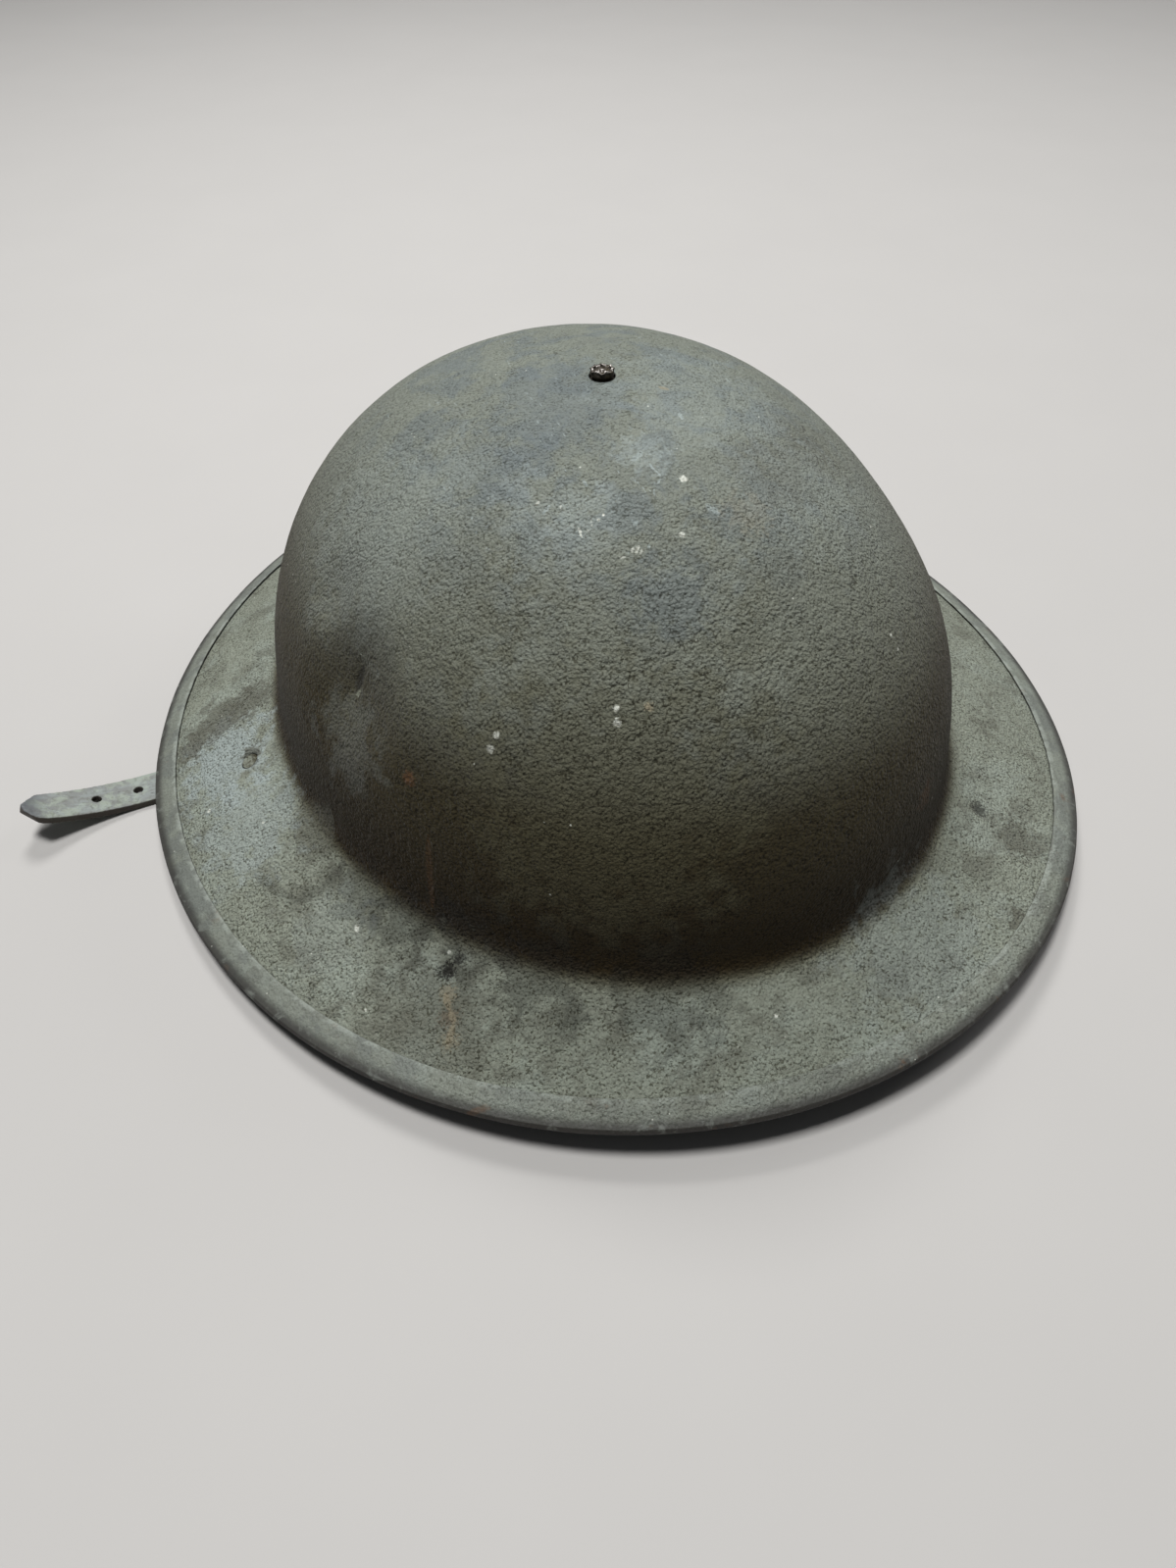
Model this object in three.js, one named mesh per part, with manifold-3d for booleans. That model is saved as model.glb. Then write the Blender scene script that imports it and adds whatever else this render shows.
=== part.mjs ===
// Steel infantry helmet: a shallow oval bowl pressed in one piece with a wide sloping brim, a folded
// rim round the edge, a hollow rivet at the crown, and a buckled leather chin strap hung from a wire
// loop on each side. Millimetres, +Z up. It stands on the plane z = 0 with its front towards -Y, and
// the strap's free end comes out under the brim on the -X side.

import * as THREE from "three";
import { mergeVertices } from "three/addons/utils/BufferGeometryUtils.js";
import Module from "manifold-3d";

const wasm = await Module();
wasm.setup();

// Bowl
const domeHalfWidth = 97;
const domeHalfLength = 116;
const crownHeight = 117.4;
const domeSideShift = -2.4;
const domeEndShift = -0.8;
const wallFootHeight = 27.7;
const domeRise = crownHeight - wallFootHeight;
const steelThickness = 1;

// Flare from the bowl's wall into the brim
const flareRadius = 10;
const flareTurn = 68;

// Brim and its folded rim
const rimHalfWidth = 143.1;
const rimHalfLength = 151.2;
const rimFrontRise = 7.6;
const rimBackRise = 6;
const rimSheet = 0.8;
const rimBandWidth = 7;
const rimUnderWidth = 6;
const restFlatDepth = 0.25;
const brimCurl = 0.45;

// Crown rivet
const crownRivetRadius = 3.5;
const crownRivetHeight = 3;
const crownShankRadius = 2.6;
const crownBoreRadius = 1.8;
const crownWasherRadius = 6;
const washerThickness = 1;

// Wire loops that carry the strap, and the rivets that hold them to the brim
const baleTurn = 4;
const baleBrimShare = 0.2;
const balePlateLength = 7.5;
const balePlateThickness = 1;
const baleWireRadius = 1.1;
const baleReachInboard = 8;
const baleBarHeight = 8.6;
const sideRivetRadius = 2.6;
const sideShankRadius = 1.5;
const sideClenchThickness = 0.7;

// Chin strap and buckle
const strapWidth = 12;
const strapThickness = 2.3;
const strapExitOffset = 26.3;
const freeEndLength = 38;
const freeEndCurlRadius = 66;
const freeEndVeerRadius = 136;
const strapPointLength = 6.5;
const strapPointWidth = 2.6;
const holeRadius = 1.4;
const holeSpacing = 11.6;
const holeFromTip = 22;
const holeCount = 4;
const buckleWireRadius = 1.1;
const buckleLength = 14;
const buckleHeelPlace = -32;
const tongueRadius = 0.7;
const strapFallRun = 20;
const buckleRampRun = 13;

// Running gaps
const fitGap = 0.3;
const threadGap = 0.4;
const plateGap = 0.55;

// How finely curved forms are cut into flats
const turnSteps = 72;
const strapStep = 3;
const freeEndStep = 1.5;

// Where the profile's rows lie: the bowl runs from its crown at 0 to its wall foot, then come the flare
// and the brim out to its edge
const footRow = 1;
const brimRow = 2;
const edgeRow = 3;
const bowlRows = [0.08, 0.17, 0.27, 0.37, 0.47, 0.57, 0.67, 0.77, 0.88];
const profileRows = [...bowlRows, footRow, 1.33, 1.67, brimRow, 2.25, 2.5, 2.75, edgeRow];

// Where the pressing is dented in, or bulges out with a negative depth. Turn is in degrees round from
// +X, row as in profileRows, and breadth and depth are shares of the bowl's half width
const dents = [
  { turn: 201, row: 0.66, breadth: 0.09, depth: 0.012 },
  { turn: 343, row: 0.61, breadth: 0.32, depth: 0.009 },
  { turn: 25, row: 0.37, breadth: 0.45, depth: -0.015 },
  { turn: 330, row: 0.77, breadth: 0.3, depth: -0.008 },
  { turn: 241, row: 2.5, breadth: 0.16, depth: 0.01 },
  { turn: 318, row: 2.45, breadth: 0.12, depth: 0.009 },
  { turn: 60, row: 2.55, breadth: 0.2, depth: 0.01 },
];

// Where the brim's edge is bent up, or down with a negative lift: turn and spread in degrees, and
// the lift as a share of the rim's rise at the front
const edgeBends = [
  { turn: 138, spread: 28, lift: -0.24 },
  { turn: 290, spread: 22, lift: 0.06 },
];

const steelPaint = new THREE.MeshStandardMaterial({ color: 0x5d6357, roughness: 0.85, metalness: 0.1 });
const rimPaint = new THREE.MeshStandardMaterial({ color: 0x4f555a, roughness: 0.6, metalness: 0.3 });
const bareMetal = new THREE.MeshStandardMaterial({ color: 0x8d7a6c, roughness: 0.45, metalness: 0.8 });
const darkSteel = new THREE.MeshStandardMaterial({ color: 0x3c3d3b, roughness: 0.6, metalness: 0.6 });
const leather = new THREE.MeshStandardMaterial({ color: 0x77766c, roughness: 0.8, metalness: 0 });

const vec = (x, y, z) => new THREE.Vector3(x, y, z);
const mix = (from, to, share) => from + (to - from) * share;
const ease = (share) => {
  const held = Math.min(Math.max(share, 0), 1);
  return held * held * (3 - 2 * held);
};
const radians = THREE.MathUtils.degToRad;

// The left rim lies on the strap, so the whole shell leans a little to the other side
const rimSeatHeight = strapThickness + fitGap + restFlatDepth;
const lean = (x) => (rimSeatHeight * (rimHalfWidth - x)) / (2 * rimHalfWidth);

// The rim's fold stands out past the shell's edge by its sheet and the gap inside it
const foldReach = fitGap + rimSheet;
const foldDepth = steelThickness + foldReach;
const brimSlope = radians(90 - flareTurn);
const edgeSetIn = foldReach * (Math.cos(brimSlope) + Math.sin(brimSlope));
const edgeLift = foldDepth * Math.cos(brimSlope) + fitGap * Math.sin(brimSlope) - restFlatDepth;

// Outline points of the bowl's wall foot and of the shell's edge at one turn
function wallFoot(turn) {
  return {
    x: domeSideShift + domeHalfWidth * Math.cos(turn),
    y: domeEndShift + domeHalfLength * Math.sin(turn),
  };
}

function shellEdge(turn) {
  const endRise = Math.sin(turn) < 0 ? rimFrontRise : rimBackRise;
  let lift = 0;
  for (const bend of edgeBends) {
    const away = Math.cos(turn - radians(bend.turn)) - 1;
    lift += bend.lift * rimFrontRise * Math.exp(away / (1 - Math.cos(radians(bend.spread))));
  }
  return {
    x: (rimHalfWidth - edgeSetIn) * Math.cos(turn),
    y: (rimHalfLength - edgeSetIn) * Math.sin(turn),
    z: edgeLift + endRise * Math.sin(turn) ** 2 + lift,
  };
}

// A point of the shell's outer face before any dent. The brim is a curve that leaves the flare along
// the flare's own slope and ends at the shell's edge
function smoothPoint(turn, row) {
  const foot = wallFoot(turn);
  const edge = shellEdge(turn);
  const reach = Math.hypot(edge.x - foot.x, edge.y - foot.y);
  let out = 0;
  let height = wallFootHeight;
  if (row < footRow) {
    const tilt = ((row / footRow) * Math.PI) / 2;
    const x = mix(domeSideShift, foot.x, Math.sin(tilt));
    const y = mix(domeEndShift, foot.y, Math.sin(tilt));
    return vec(x, y, wallFootHeight + domeRise * Math.cos(tilt) + lean(x));
  }
  const bend = Math.min(row - footRow, brimRow - footRow) * radians(flareTurn);
  out = flareRadius * (1 - Math.cos(bend));
  height -= flareRadius * Math.sin(bend);
  if (row > brimRow) {
    const share = row - brimRow;
    const span = reach - out;
    const bendOut = out + span * brimCurl;
    const bendHeight = height - span * brimCurl * Math.tan(brimSlope);
    out = mix(mix(out, bendOut, share), mix(bendOut, reach, share), share);
    height = mix(mix(height, bendHeight, share), mix(bendHeight, edge.z, share), share);
  }
  const x = mix(foot.x, edge.x, out / reach);
  const y = mix(foot.y, edge.y, out / reach);
  return vec(x, y, height + lean(x));
}

// The frame on the shell's outer face: the way round, the way out along the profile, and the normal
function shellFrame(turn, row) {
  const small = 0.002;
  const inner = Math.min(row, edgeRow - small);
  const along = smoothPoint(turn, inner + small).sub(smoothPoint(turn, inner)).normalize();
  const round = smoothPoint(turn + small, row).sub(smoothPoint(turn - small, row)).normalize();
  return { along, round, normal: vec(0, 0, 0).crossVectors(along, round).normalize() };
}

function shellPoint(turn, row, depth) {
  const point = smoothPoint(turn, row);
  const { normal } = shellFrame(turn, row);
  let sink = depth;
  for (const dent of dents) {
    const away = smoothPoint(radians(dent.turn), dent.row).distanceTo(point) / (dent.breadth * domeHalfWidth);
    sink += dent.depth * domeHalfWidth * Math.exp(-away * away);
  }
  return point.addScaledVector(normal, -sink);
}

// Skins closed sections into one body. The sections run in a ring, or end in flat caps
function skin(sections, ring) {
  const count = sections[0].length;
  const positions = sections.flat().flatMap((point) => [point.x, point.y, point.z]);
  const faces = [];
  const spans = ring ? sections.length : sections.length - 1;
  for (let span = 0; span < spans; span += 1) {
    const here = span * count;
    const next = ((span + 1) % sections.length) * count;
    for (let side = 0; side < count; side += 1) {
      const turned = (side + 1) % count;
      faces.push(here + side, here + turned, next + turned);
      faces.push(here + side, next + turned, next + side);
    }
  }
  if (!ring) {
    const last = (sections.length - 1) * count;
    for (let side = 1; side < count - 1; side += 1) {
      faces.push(0, side + 1, side);
      faces.push(last, last + side, last + side + 1);
    }
  }
  const geometry = new THREE.BufferGeometry();
  geometry.setAttribute("position", new THREE.Float32BufferAttribute(positions, 3));
  geometry.setIndex(faces);
  return geometry;
}

function toSolid(geometry) {
  const bare = geometry.clone();
  bare.deleteAttribute("normal");
  bare.deleteAttribute("uv");
  const merged = mergeVertices(bare);
  return new wasm.Manifold(
    new wasm.Mesh({
      numProp: 3,
      vertProperties: new Float32Array(merged.attributes.position.array),
      triVerts: new Uint32Array(merged.index.array),
    }),
  );
}

function toGeometry(solid) {
  const mesh = solid.getMesh();
  const geometry = new THREE.BufferGeometry();
  geometry.setAttribute("position", new THREE.BufferAttribute(new Float32Array(mesh.vertProperties), 3));
  geometry.setIndex(new THREE.BufferAttribute(new Uint32Array(mesh.triVerts), 1));
  geometry.computeVertexNormals();
  return geometry;
}

// A round rod between two points
function rod(from, to, radius, sides = 10) {
  const length = from.distanceTo(to);
  const geometry = new THREE.CylinderGeometry(radius, radius, length, sides);
  const way = to.clone().sub(from).normalize();
  geometry.applyQuaternion(new THREE.Quaternion().setFromUnitVectors(vec(0, 1, 0), way));
  const middle = from.clone().add(to).multiplyScalar(0.5);
  geometry.translate(middle.x, middle.y, middle.z);
  return toSolid(geometry);
}

const join = (solids) => solids.reduce((whole, solid) => whole.add(solid));

// Where the wire loops' rivets go through the brim, with the brim's frame there
function balePlace(side) {
  const turn = side < 0 ? Math.PI - radians(baleTurn) : radians(baleTurn);
  const row = brimRow + baleBrimShare;
  const outboard = shellFrame(turn, row).along;
  const { normal } = shellFrame(turn, row);
  return { point: smoothPoint(turn, row), inboard: outboard.clone().negate(), normal, side };
}

const places = { left: balePlace(-1), right: balePlace(1) };
const strapLine = places.right.point.y;
const balePoint = (place) => vec(place.point.x - place.side * baleReachInboard, strapLine, baleBarHeight);

// Shell, with a hole for the crown rivet and one for each side rivet
function makeShell() {
  const holeEdge = crownShankRadius + fitGap;
  const sections = [];
  for (let step = 0; step < turnSteps; step += 1) {
    const turn = (step / turnSteps) * 2 * Math.PI;
    const spread = Math.hypot(domeHalfWidth * Math.cos(turn), domeHalfLength * Math.sin(turn));
    const holeRow = Math.asin(holeEdge / spread) / (Math.PI / 2);
    const rows = [holeRow, ...profileRows];
    const outer = rows.map((row) => shellPoint(turn, row, 0));
    const inner = rows.map((row) => shellPoint(turn, row, steelThickness));
    sections.push([...outer, ...inner.reverse()]);
  }
  let solid = toSolid(skin(sections, true));
  for (const place of Object.values(places)) {
    const above = place.point.clone().addScaledVector(place.normal, steelThickness);
    const below = place.point.clone().addScaledVector(place.normal, -2 * steelThickness);
    solid = solid.subtract(rod(above, below, sideRivetRadius + fitGap, 12));
  }
  return toGeometry(solid);
}

// Rim: a strip of sheet folded over the shell's edge, with a broad leg on top and one underneath.
// Where it stands on the table it is worn flat
function makeRimBand() {
  const rounding = rimSheet;
  const outline = [
    [-rimBandWidth, fitGap],
    [-rimBandWidth, foldReach - rounding / 3],
    [-rimBandWidth + rounding, foldReach],
    [foldReach - rounding, foldReach],
    [foldReach, foldReach - rounding],
    [foldReach, rounding - foldDepth],
    [foldReach - rounding, -foldDepth],
    [-rimUnderWidth, -foldDepth],
    [-rimUnderWidth, -steelThickness - fitGap],
    [fitGap, -steelThickness - fitGap],
    [fitGap, fitGap],
  ];
  const sections = [];
  for (let step = 0; step < turnSteps; step += 1) {
    const turn = (step / turnSteps) * 2 * Math.PI;
    const section = outline.map(([along, up]) => {
      const row = Math.min(edgeRow, edgeRow + along / brimSpan(turn));
      const base = shellPoint(turn, row, 0);
      const frame = shellFrame(turn, row);
      base.addScaledVector(frame.along, Math.max(along, 0)).addScaledVector(frame.normal, up);
      return vec(base.x, base.y, Math.max(base.z, 0));
    });
    sections.push(section);
  }
  return skin(sections, true);
}

// Length of the brim's last stretch for one whole step of the profile's row, near the edge
function brimSpan(turn) {
  const nearEdge = 0.05;
  return smoothPoint(turn, edgeRow).distanceTo(smoothPoint(turn, edgeRow - nearEdge)) / nearEdge;
}

// Crown rivet: a hollow head with a torn lip, its shank, and the washer it is clenched on inside
function makeCrownRivet() {
  const under = -steelThickness - fitGap;
  const sides = 20;
  const lipWall = (crownRivetRadius - crownBoreRadius) / 3;
  const lipDrop = crownRivetHeight / 5;
  const profile = [
    [0, under - washerThickness],
    [crownWasherRadius, under - washerThickness],
    [crownWasherRadius, under],
    [crownShankRadius, under],
    [crownShankRadius, fitGap],
    [crownRivetRadius, fitGap],
    [crownRivetRadius, crownRivetHeight - lipDrop],
    [crownRivetRadius - lipWall, crownRivetHeight],
    [crownBoreRadius + lipWall, crownRivetHeight],
    [crownBoreRadius, crownRivetHeight - lipDrop],
    [crownBoreRadius, fitGap + lipDrop],
    [0, fitGap + lipDrop],
  ];
  const geometry = new THREE.LatheGeometry(profile.map(([x, y]) => new THREE.Vector2(x, y)), sides);
  geometry.rotateX(Math.PI / 2);
  const tears = [0, 0.5, 0.15, 0.8, 0.3, 0.1, 0.65, 0.2, 0.45, 0];
  const position = geometry.attributes.position;
  for (let index = 0; index < position.count; index += 1) {
    const turn = Math.atan2(position.getY(index), position.getX(index)) / (2 * Math.PI) + 1;
    const tear = tears[Math.round(turn * tears.length) % tears.length];
    if (position.getZ(index) > crownRivetHeight - lipDrop / 2) {
      position.setZ(index, crownRivetHeight - lipDrop * tear);
    }
  }
  const apex = smoothPoint(0, 0);
  geometry.translate(apex.x, apex.y, apex.z);
  return toGeometry(toSolid(geometry));
}

// Side rivet, flush in the brim and clenched under the wire loop's plate
function makeSideRivet(place) {
  const headFoot = -steelThickness;
  const plateFoot = headFoot - plateGap - balePlateThickness - fitGap;
  const profile = [
    [0, plateFoot - sideClenchThickness],
    [sideRivetRadius, plateFoot - sideClenchThickness],
    [sideRivetRadius, plateFoot],
    [sideShankRadius, plateFoot],
    [sideShankRadius, headFoot],
    [sideRivetRadius, headFoot],
    [sideRivetRadius, -fitGap],
    [0, -fitGap],
  ];
  const geometry = new THREE.LatheGeometry(profile.map(([x, y]) => new THREE.Vector2(x, y)), 12);
  geometry.applyQuaternion(new THREE.Quaternion().setFromUnitVectors(vec(0, 1, 0), place.normal));
  geometry.translate(place.point.x, place.point.y, place.point.z);
  return toGeometry(toSolid(geometry));
}

// Wire loop: a plate under the brim, an arm down from each end of it, and the bar that the strap is
// folded round
function makeBale(place) {
  const halfSpan = strapWidth / 2 + threadGap + baleWireRadius;
  const depth = steelThickness + plateGap + balePlateThickness / 2;
  const middle = place.point.clone().addScaledVector(place.normal, -depth);
  const across = vec(0, 1, 0).crossVectors(place.normal, place.inboard).normalize();
  const plate = new THREE.BoxGeometry(balePlateLength, 2 * halfSpan, balePlateThickness);
  plate.applyMatrix4(new THREE.Matrix4().makeBasis(place.inboard, across, place.normal));
  plate.translate(middle.x, middle.y, middle.z);
  const hole = rod(
    middle.clone().addScaledVector(place.normal, -2 * balePlateThickness),
    middle.clone().addScaledVector(place.normal, 2 * balePlateThickness),
    sideShankRadius + fitGap,
  );
  const bar = balePoint(place);
  const ends = [-1, 1].map((end) => vec(bar.x, bar.y + end * halfSpan, bar.z));
  const arms = ends.map((end, index) => {
    const root = middle.clone().addScaledVector(place.inboard, balePlateLength / 4);
    root.addScaledVector(place.normal, balePlateThickness / 2 - baleWireRadius);
    root.addScaledVector(across, (index * 2 - 1) * Math.sign(across.y) * (halfSpan - baleWireRadius / 2));
    return rod(root, end, baleWireRadius);
  });
  const reach = vec(0, baleWireRadius, 0);
  const cross = rod(ends[0].clone().sub(reach), ends[1].clone().add(reach), baleWireRadius);
  return toGeometry(join([toSolid(plate).subtract(hole), ...arms, cross]));
}

// Strap bands. A band follows stations, each with a place, a heading in plan and a width
function band(stations) {
  const sections = stations.map(({ place, ahead, width }) => {
    const across = vec(-ahead.y, ahead.x, 0).normalize().multiplyScalar(width / 2);
    const up = vec(0, 0, 0).crossVectors(ahead, across).normalize().multiplyScalar(strapThickness / 2);
    return [
      [-1, -1],
      [1, -1],
      [1, 1],
      [-1, 1],
    ].map(([side, level]) => place.clone().addScaledVector(across, side).addScaledVector(up, level));
  });
  return toSolid(skin(sections, false));
}

// Stations along a route in the strap's plane, taken at even steps from one end to the other
function routeStations(from, to, routeAt) {
  const steps = Math.ceil(Math.abs(to - from) / strapStep);
  const stations = [];
  for (let step = 0; step <= steps; step += 1) {
    const x = mix(from, to, step / steps);
    const small = Math.sign(to - from) * 0.01;
    const ahead = routeAt(x + small).sub(routeAt(x - small)).normalize();
    stations.push({ place: routeAt(x), ahead, width: strapWidth });
  }
  return stations;
}

// The eye of a strap folded round a bar
const eyeBore = (barRadius) => barRadius + threadGap;
const eyeRadius = (barRadius) => eyeBore(barRadius) + strapThickness;

function eye(bar, barRadius) {
  const half = vec(0, strapWidth / 2, 0);
  const past = vec(0, strapWidth, 0);
  const ring = rod(bar.clone().sub(half), bar.clone().add(half), eyeRadius(barRadius), 16);
  return ring.subtract(rod(bar.clone().sub(past), bar.clone().add(past), eyeBore(barRadius), 16));
}

// The buckle lies on the strap's line: its front bar on the table, its heel bar above the long strap
const longTop = strapThickness + fitGap;
const heelBar = vec(buckleHeelPlace, strapLine, longTop + eyeRadius(buckleWireRadius));
const frontBar = vec(buckleHeelPlace + buckleLength, strapLine, buckleWireRadius);
const overFront = 2 * buckleWireRadius + fitGap + strapThickness / 2;
const tongueEye = rod(heelBar, frontBar, tongueRadius + fitGap);

// Long strap: from the right loop down to the table, over the buckle's front bar, under its heel bar,
// straight on under the left brim, and out to the free end, which curls up off the table
const exitPlace = -(rimHalfWidth - edgeSetIn);
const onTable = strapThickness / 2;

function longRoute(x) {
  const rightBar = balePoint(places.right);
  const eyeFoot = rightBar.z - eyeRadius(baleWireRadius) + strapThickness / 2;
  const fall = mix(eyeFoot, onTable, ease((rightBar.x - x) / strapFallRun));
  const rise = ease((frontBar.x + buckleWireRadius + buckleRampRun - x) / buckleRampRun);
  const drop = ease((frontBar.x - buckleWireRadius - x) / (buckleLength - buckleWireRadius));
  const side = ease((heelBar.x - x) / (heelBar.x - exitPlace));
  return vec(x, mix(strapLine, strapExitOffset, side), fall + (overFront - onTable) * (rise - drop));
}

function freeEndStations() {
  const stations = [];
  const place = longRoute(exitPlace);
  const steps = Math.round(freeEndLength / freeEndStep);
  const stride = freeEndLength / steps;
  for (let step = 0; step <= steps; step += 1) {
    const run = step * stride;
    const pitch = run / freeEndCurlRadius;
    const veer = run / freeEndVeerRadius;
    const ahead = vec(-Math.cos(pitch) * Math.cos(veer), -Math.cos(pitch) * Math.sin(veer), Math.sin(pitch));
    const left = freeEndLength - run;
    const taper = Math.min(left / strapPointLength, 1);
    const width = mix(strapPointWidth, strapWidth, Math.sqrt(1 - (1 - taper) ** 2));
    stations.push({ place: place.clone(), ahead, width });
    place.addScaledVector(ahead, stride);
  }
  return stations;
}

// A place along the strap, measured back from its tip, with the strap's own upright there
function fromTip(length) {
  const run = freeEndLength - length;
  const stations = freeEndStations();
  if (run < 0) {
    return { place: longRoute(exitPlace - run), upright: vec(0, 0, 1) };
  }
  const station = stations[Math.round((run / freeEndLength) * (stations.length - 1))];
  const across = vec(-station.ahead.y, station.ahead.x, 0);
  return { place: station.place, upright: vec(0, 0, 0).crossVectors(station.ahead, across).normalize() };
}

function makeLongStrap() {
  const rightBar = balePoint(places.right);
  const hidden = routeStations(rightBar.x, exitPlace, longRoute);
  let strap = band([...hidden, ...freeEndStations().slice(1)]);
  strap = strap.add(eye(rightBar, baleWireRadius));
  strap = strap.subtract(tongueEye);
  for (let hole = 0; hole < holeCount; hole += 1) {
    const { place, upright } = fromTip(holeFromTip + hole * holeSpacing);
    const above = place.clone().addScaledVector(upright, strapThickness);
    const below = place.clone().addScaledVector(upright, -strapThickness);
    strap = strap.subtract(rod(above, below, holeRadius));
  }
  return toGeometry(strap);
}

// Short strap: from the left loop down onto the long strap and along it to the buckle's heel bar
function makeShortStrap() {
  const leftBar = balePoint(places.left);
  const eyeFoot = leftBar.z - eyeRadius(baleWireRadius) + strapThickness / 2;
  const lying = longTop + strapThickness / 2;
  const route = (x) => vec(x, strapLine, mix(eyeFoot, lying, ease((x - leftBar.x) / strapFallRun)));
  const strap = band(routeStations(leftBar.x, heelBar.x, route));
  const whole = join([strap, eye(leftBar, baleWireRadius), eye(heelBar, buckleWireRadius)]);
  const heelBore = rod(
    heelBar.clone().sub(vec(0, strapWidth, 0)),
    heelBar.clone().add(vec(0, strapWidth, 0)),
    eyeBore(buckleWireRadius),
    16,
  );
  return toGeometry(whole.subtract(heelBore).subtract(tongueEye));
}

// Buckle: a wire frame with a tongue from its heel bar through the strap to its front bar
function makeBuckle() {
  const halfSpan = strapWidth / 2 + threadGap + buckleWireRadius;
  const reach = vec(0, halfSpan, 0);
  const corners = [heelBar, frontBar].flatMap((bar) => [bar.clone().sub(reach), bar.clone().add(reach)]);
  const over = vec(0, buckleWireRadius, 0);
  return toGeometry(
    join([
      rod(corners[0].clone().sub(over), corners[1].clone().add(over), buckleWireRadius),
      rod(corners[2].clone().sub(over), corners[3].clone().add(over), buckleWireRadius),
      rod(corners[0], corners[2], buckleWireRadius),
      rod(corners[1], corners[3], buckleWireRadius),
      rod(heelBar, frontBar, tongueRadius),
    ]),
  );
}

const helmet = new THREE.Group();

function place(name, geometry, material) {
  const mesh = new THREE.Mesh(geometry, material);
  mesh.name = name;
  helmet.add(mesh);
}

place("shell", makeShell(), steelPaint);
place("rim_band", makeRimBand(), rimPaint);
place("crown_rivet", makeCrownRivet(), bareMetal);
place("bale_left", makeBale(places.left), darkSteel);
place("bale_right", makeBale(places.right), darkSteel);
place("bale_rivet_left", makeSideRivet(places.left), darkSteel);
place("bale_rivet_right", makeSideRivet(places.right), darkSteel);
place("chin_strap_long", makeLongStrap(), leather);
place("chin_strap_short", makeShortStrap(), leather);
place("buckle", makeBuckle(), darkSteel);

// The origin is the middle of the underside of the whole part, strap included
const extent = new THREE.Box3().setFromObject(helmet);
const middle = extent.getCenter(new THREE.Vector3());
helmet.position.set(-middle.x, -middle.y, -extent.min.z);

export default helmet;
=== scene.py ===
"""Dresses a packed steel helmet: sanded paint, folded rim, torn crown rivet, strap, loops and buckle."""

import math
from collections import namedtuple

import bmesh
import bpy
from bpy.props import FloatProperty, FloatVectorProperty, PointerProperty
from mathutils import Matrix, Vector


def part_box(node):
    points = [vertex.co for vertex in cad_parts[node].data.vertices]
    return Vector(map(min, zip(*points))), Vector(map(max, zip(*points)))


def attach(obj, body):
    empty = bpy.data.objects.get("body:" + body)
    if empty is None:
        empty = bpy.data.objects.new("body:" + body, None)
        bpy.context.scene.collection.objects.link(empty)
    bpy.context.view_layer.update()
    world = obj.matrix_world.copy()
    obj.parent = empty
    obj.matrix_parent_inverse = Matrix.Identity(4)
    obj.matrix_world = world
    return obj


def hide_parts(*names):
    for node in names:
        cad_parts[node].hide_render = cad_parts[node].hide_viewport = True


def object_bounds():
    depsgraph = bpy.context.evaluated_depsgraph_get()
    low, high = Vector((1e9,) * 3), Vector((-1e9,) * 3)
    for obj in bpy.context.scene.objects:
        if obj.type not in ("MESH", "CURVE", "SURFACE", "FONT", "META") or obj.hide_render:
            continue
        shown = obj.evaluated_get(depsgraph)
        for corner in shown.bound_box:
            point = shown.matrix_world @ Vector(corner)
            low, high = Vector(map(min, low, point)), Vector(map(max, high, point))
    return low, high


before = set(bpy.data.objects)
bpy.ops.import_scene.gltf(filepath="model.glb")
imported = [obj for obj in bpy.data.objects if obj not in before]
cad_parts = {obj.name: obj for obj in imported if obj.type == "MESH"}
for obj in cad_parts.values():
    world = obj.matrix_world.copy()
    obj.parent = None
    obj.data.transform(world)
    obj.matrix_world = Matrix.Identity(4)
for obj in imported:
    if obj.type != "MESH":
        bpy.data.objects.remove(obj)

bl_info = {
    "name": "Steel Helmet Dresser",
    "version": (1, 0, 0),
    "blender": (4, 5, 0),
    "location": "3D View > Sidebar > Helmet",
    "description": "Models and paints a wide-brimmed steel helmet round its packed frame",
    "category": "Object",
}

MM = 0.001
CAD_BOX = [list(corner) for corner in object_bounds()]
RIM_LOW, RIM_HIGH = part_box("rim_band")
RIM_CENTRE = (RIM_LOW + RIM_HIGH) / 2
RIM_HALF = (RIM_HIGH - RIM_LOW) / 2
WELD = 0.01 * MM

# How far the crown rivet stands over the shell, and the shares of a colour that are left in a pit of
# the paint's grain, where the darkened pits are painted shade
RIVET_STANDS = 0.003
PIT_SHADE = (0.2, 0.18, 0.14)

# The photograph's camera: its place in metres, its pitch, heading and roll in degrees, and the height
# of the frame in pixels
CAMERA_PLACE = (-0.0891, -0.2389, 0.2458)
CAMERA_ANGLES = (46.65, 22.66, 0.64)
FRAME_HEIGHT = 1599
SENSOR = 36

SIDE_RIVETS = ("bale_rivet_left", "bale_rivet_right")


def table(columns, *rows):
    """A list of rows whose cells are read by their columns' names."""
    row_type = namedtuple("Row", columns)
    return [row_type(*row) for row in rows]


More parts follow.
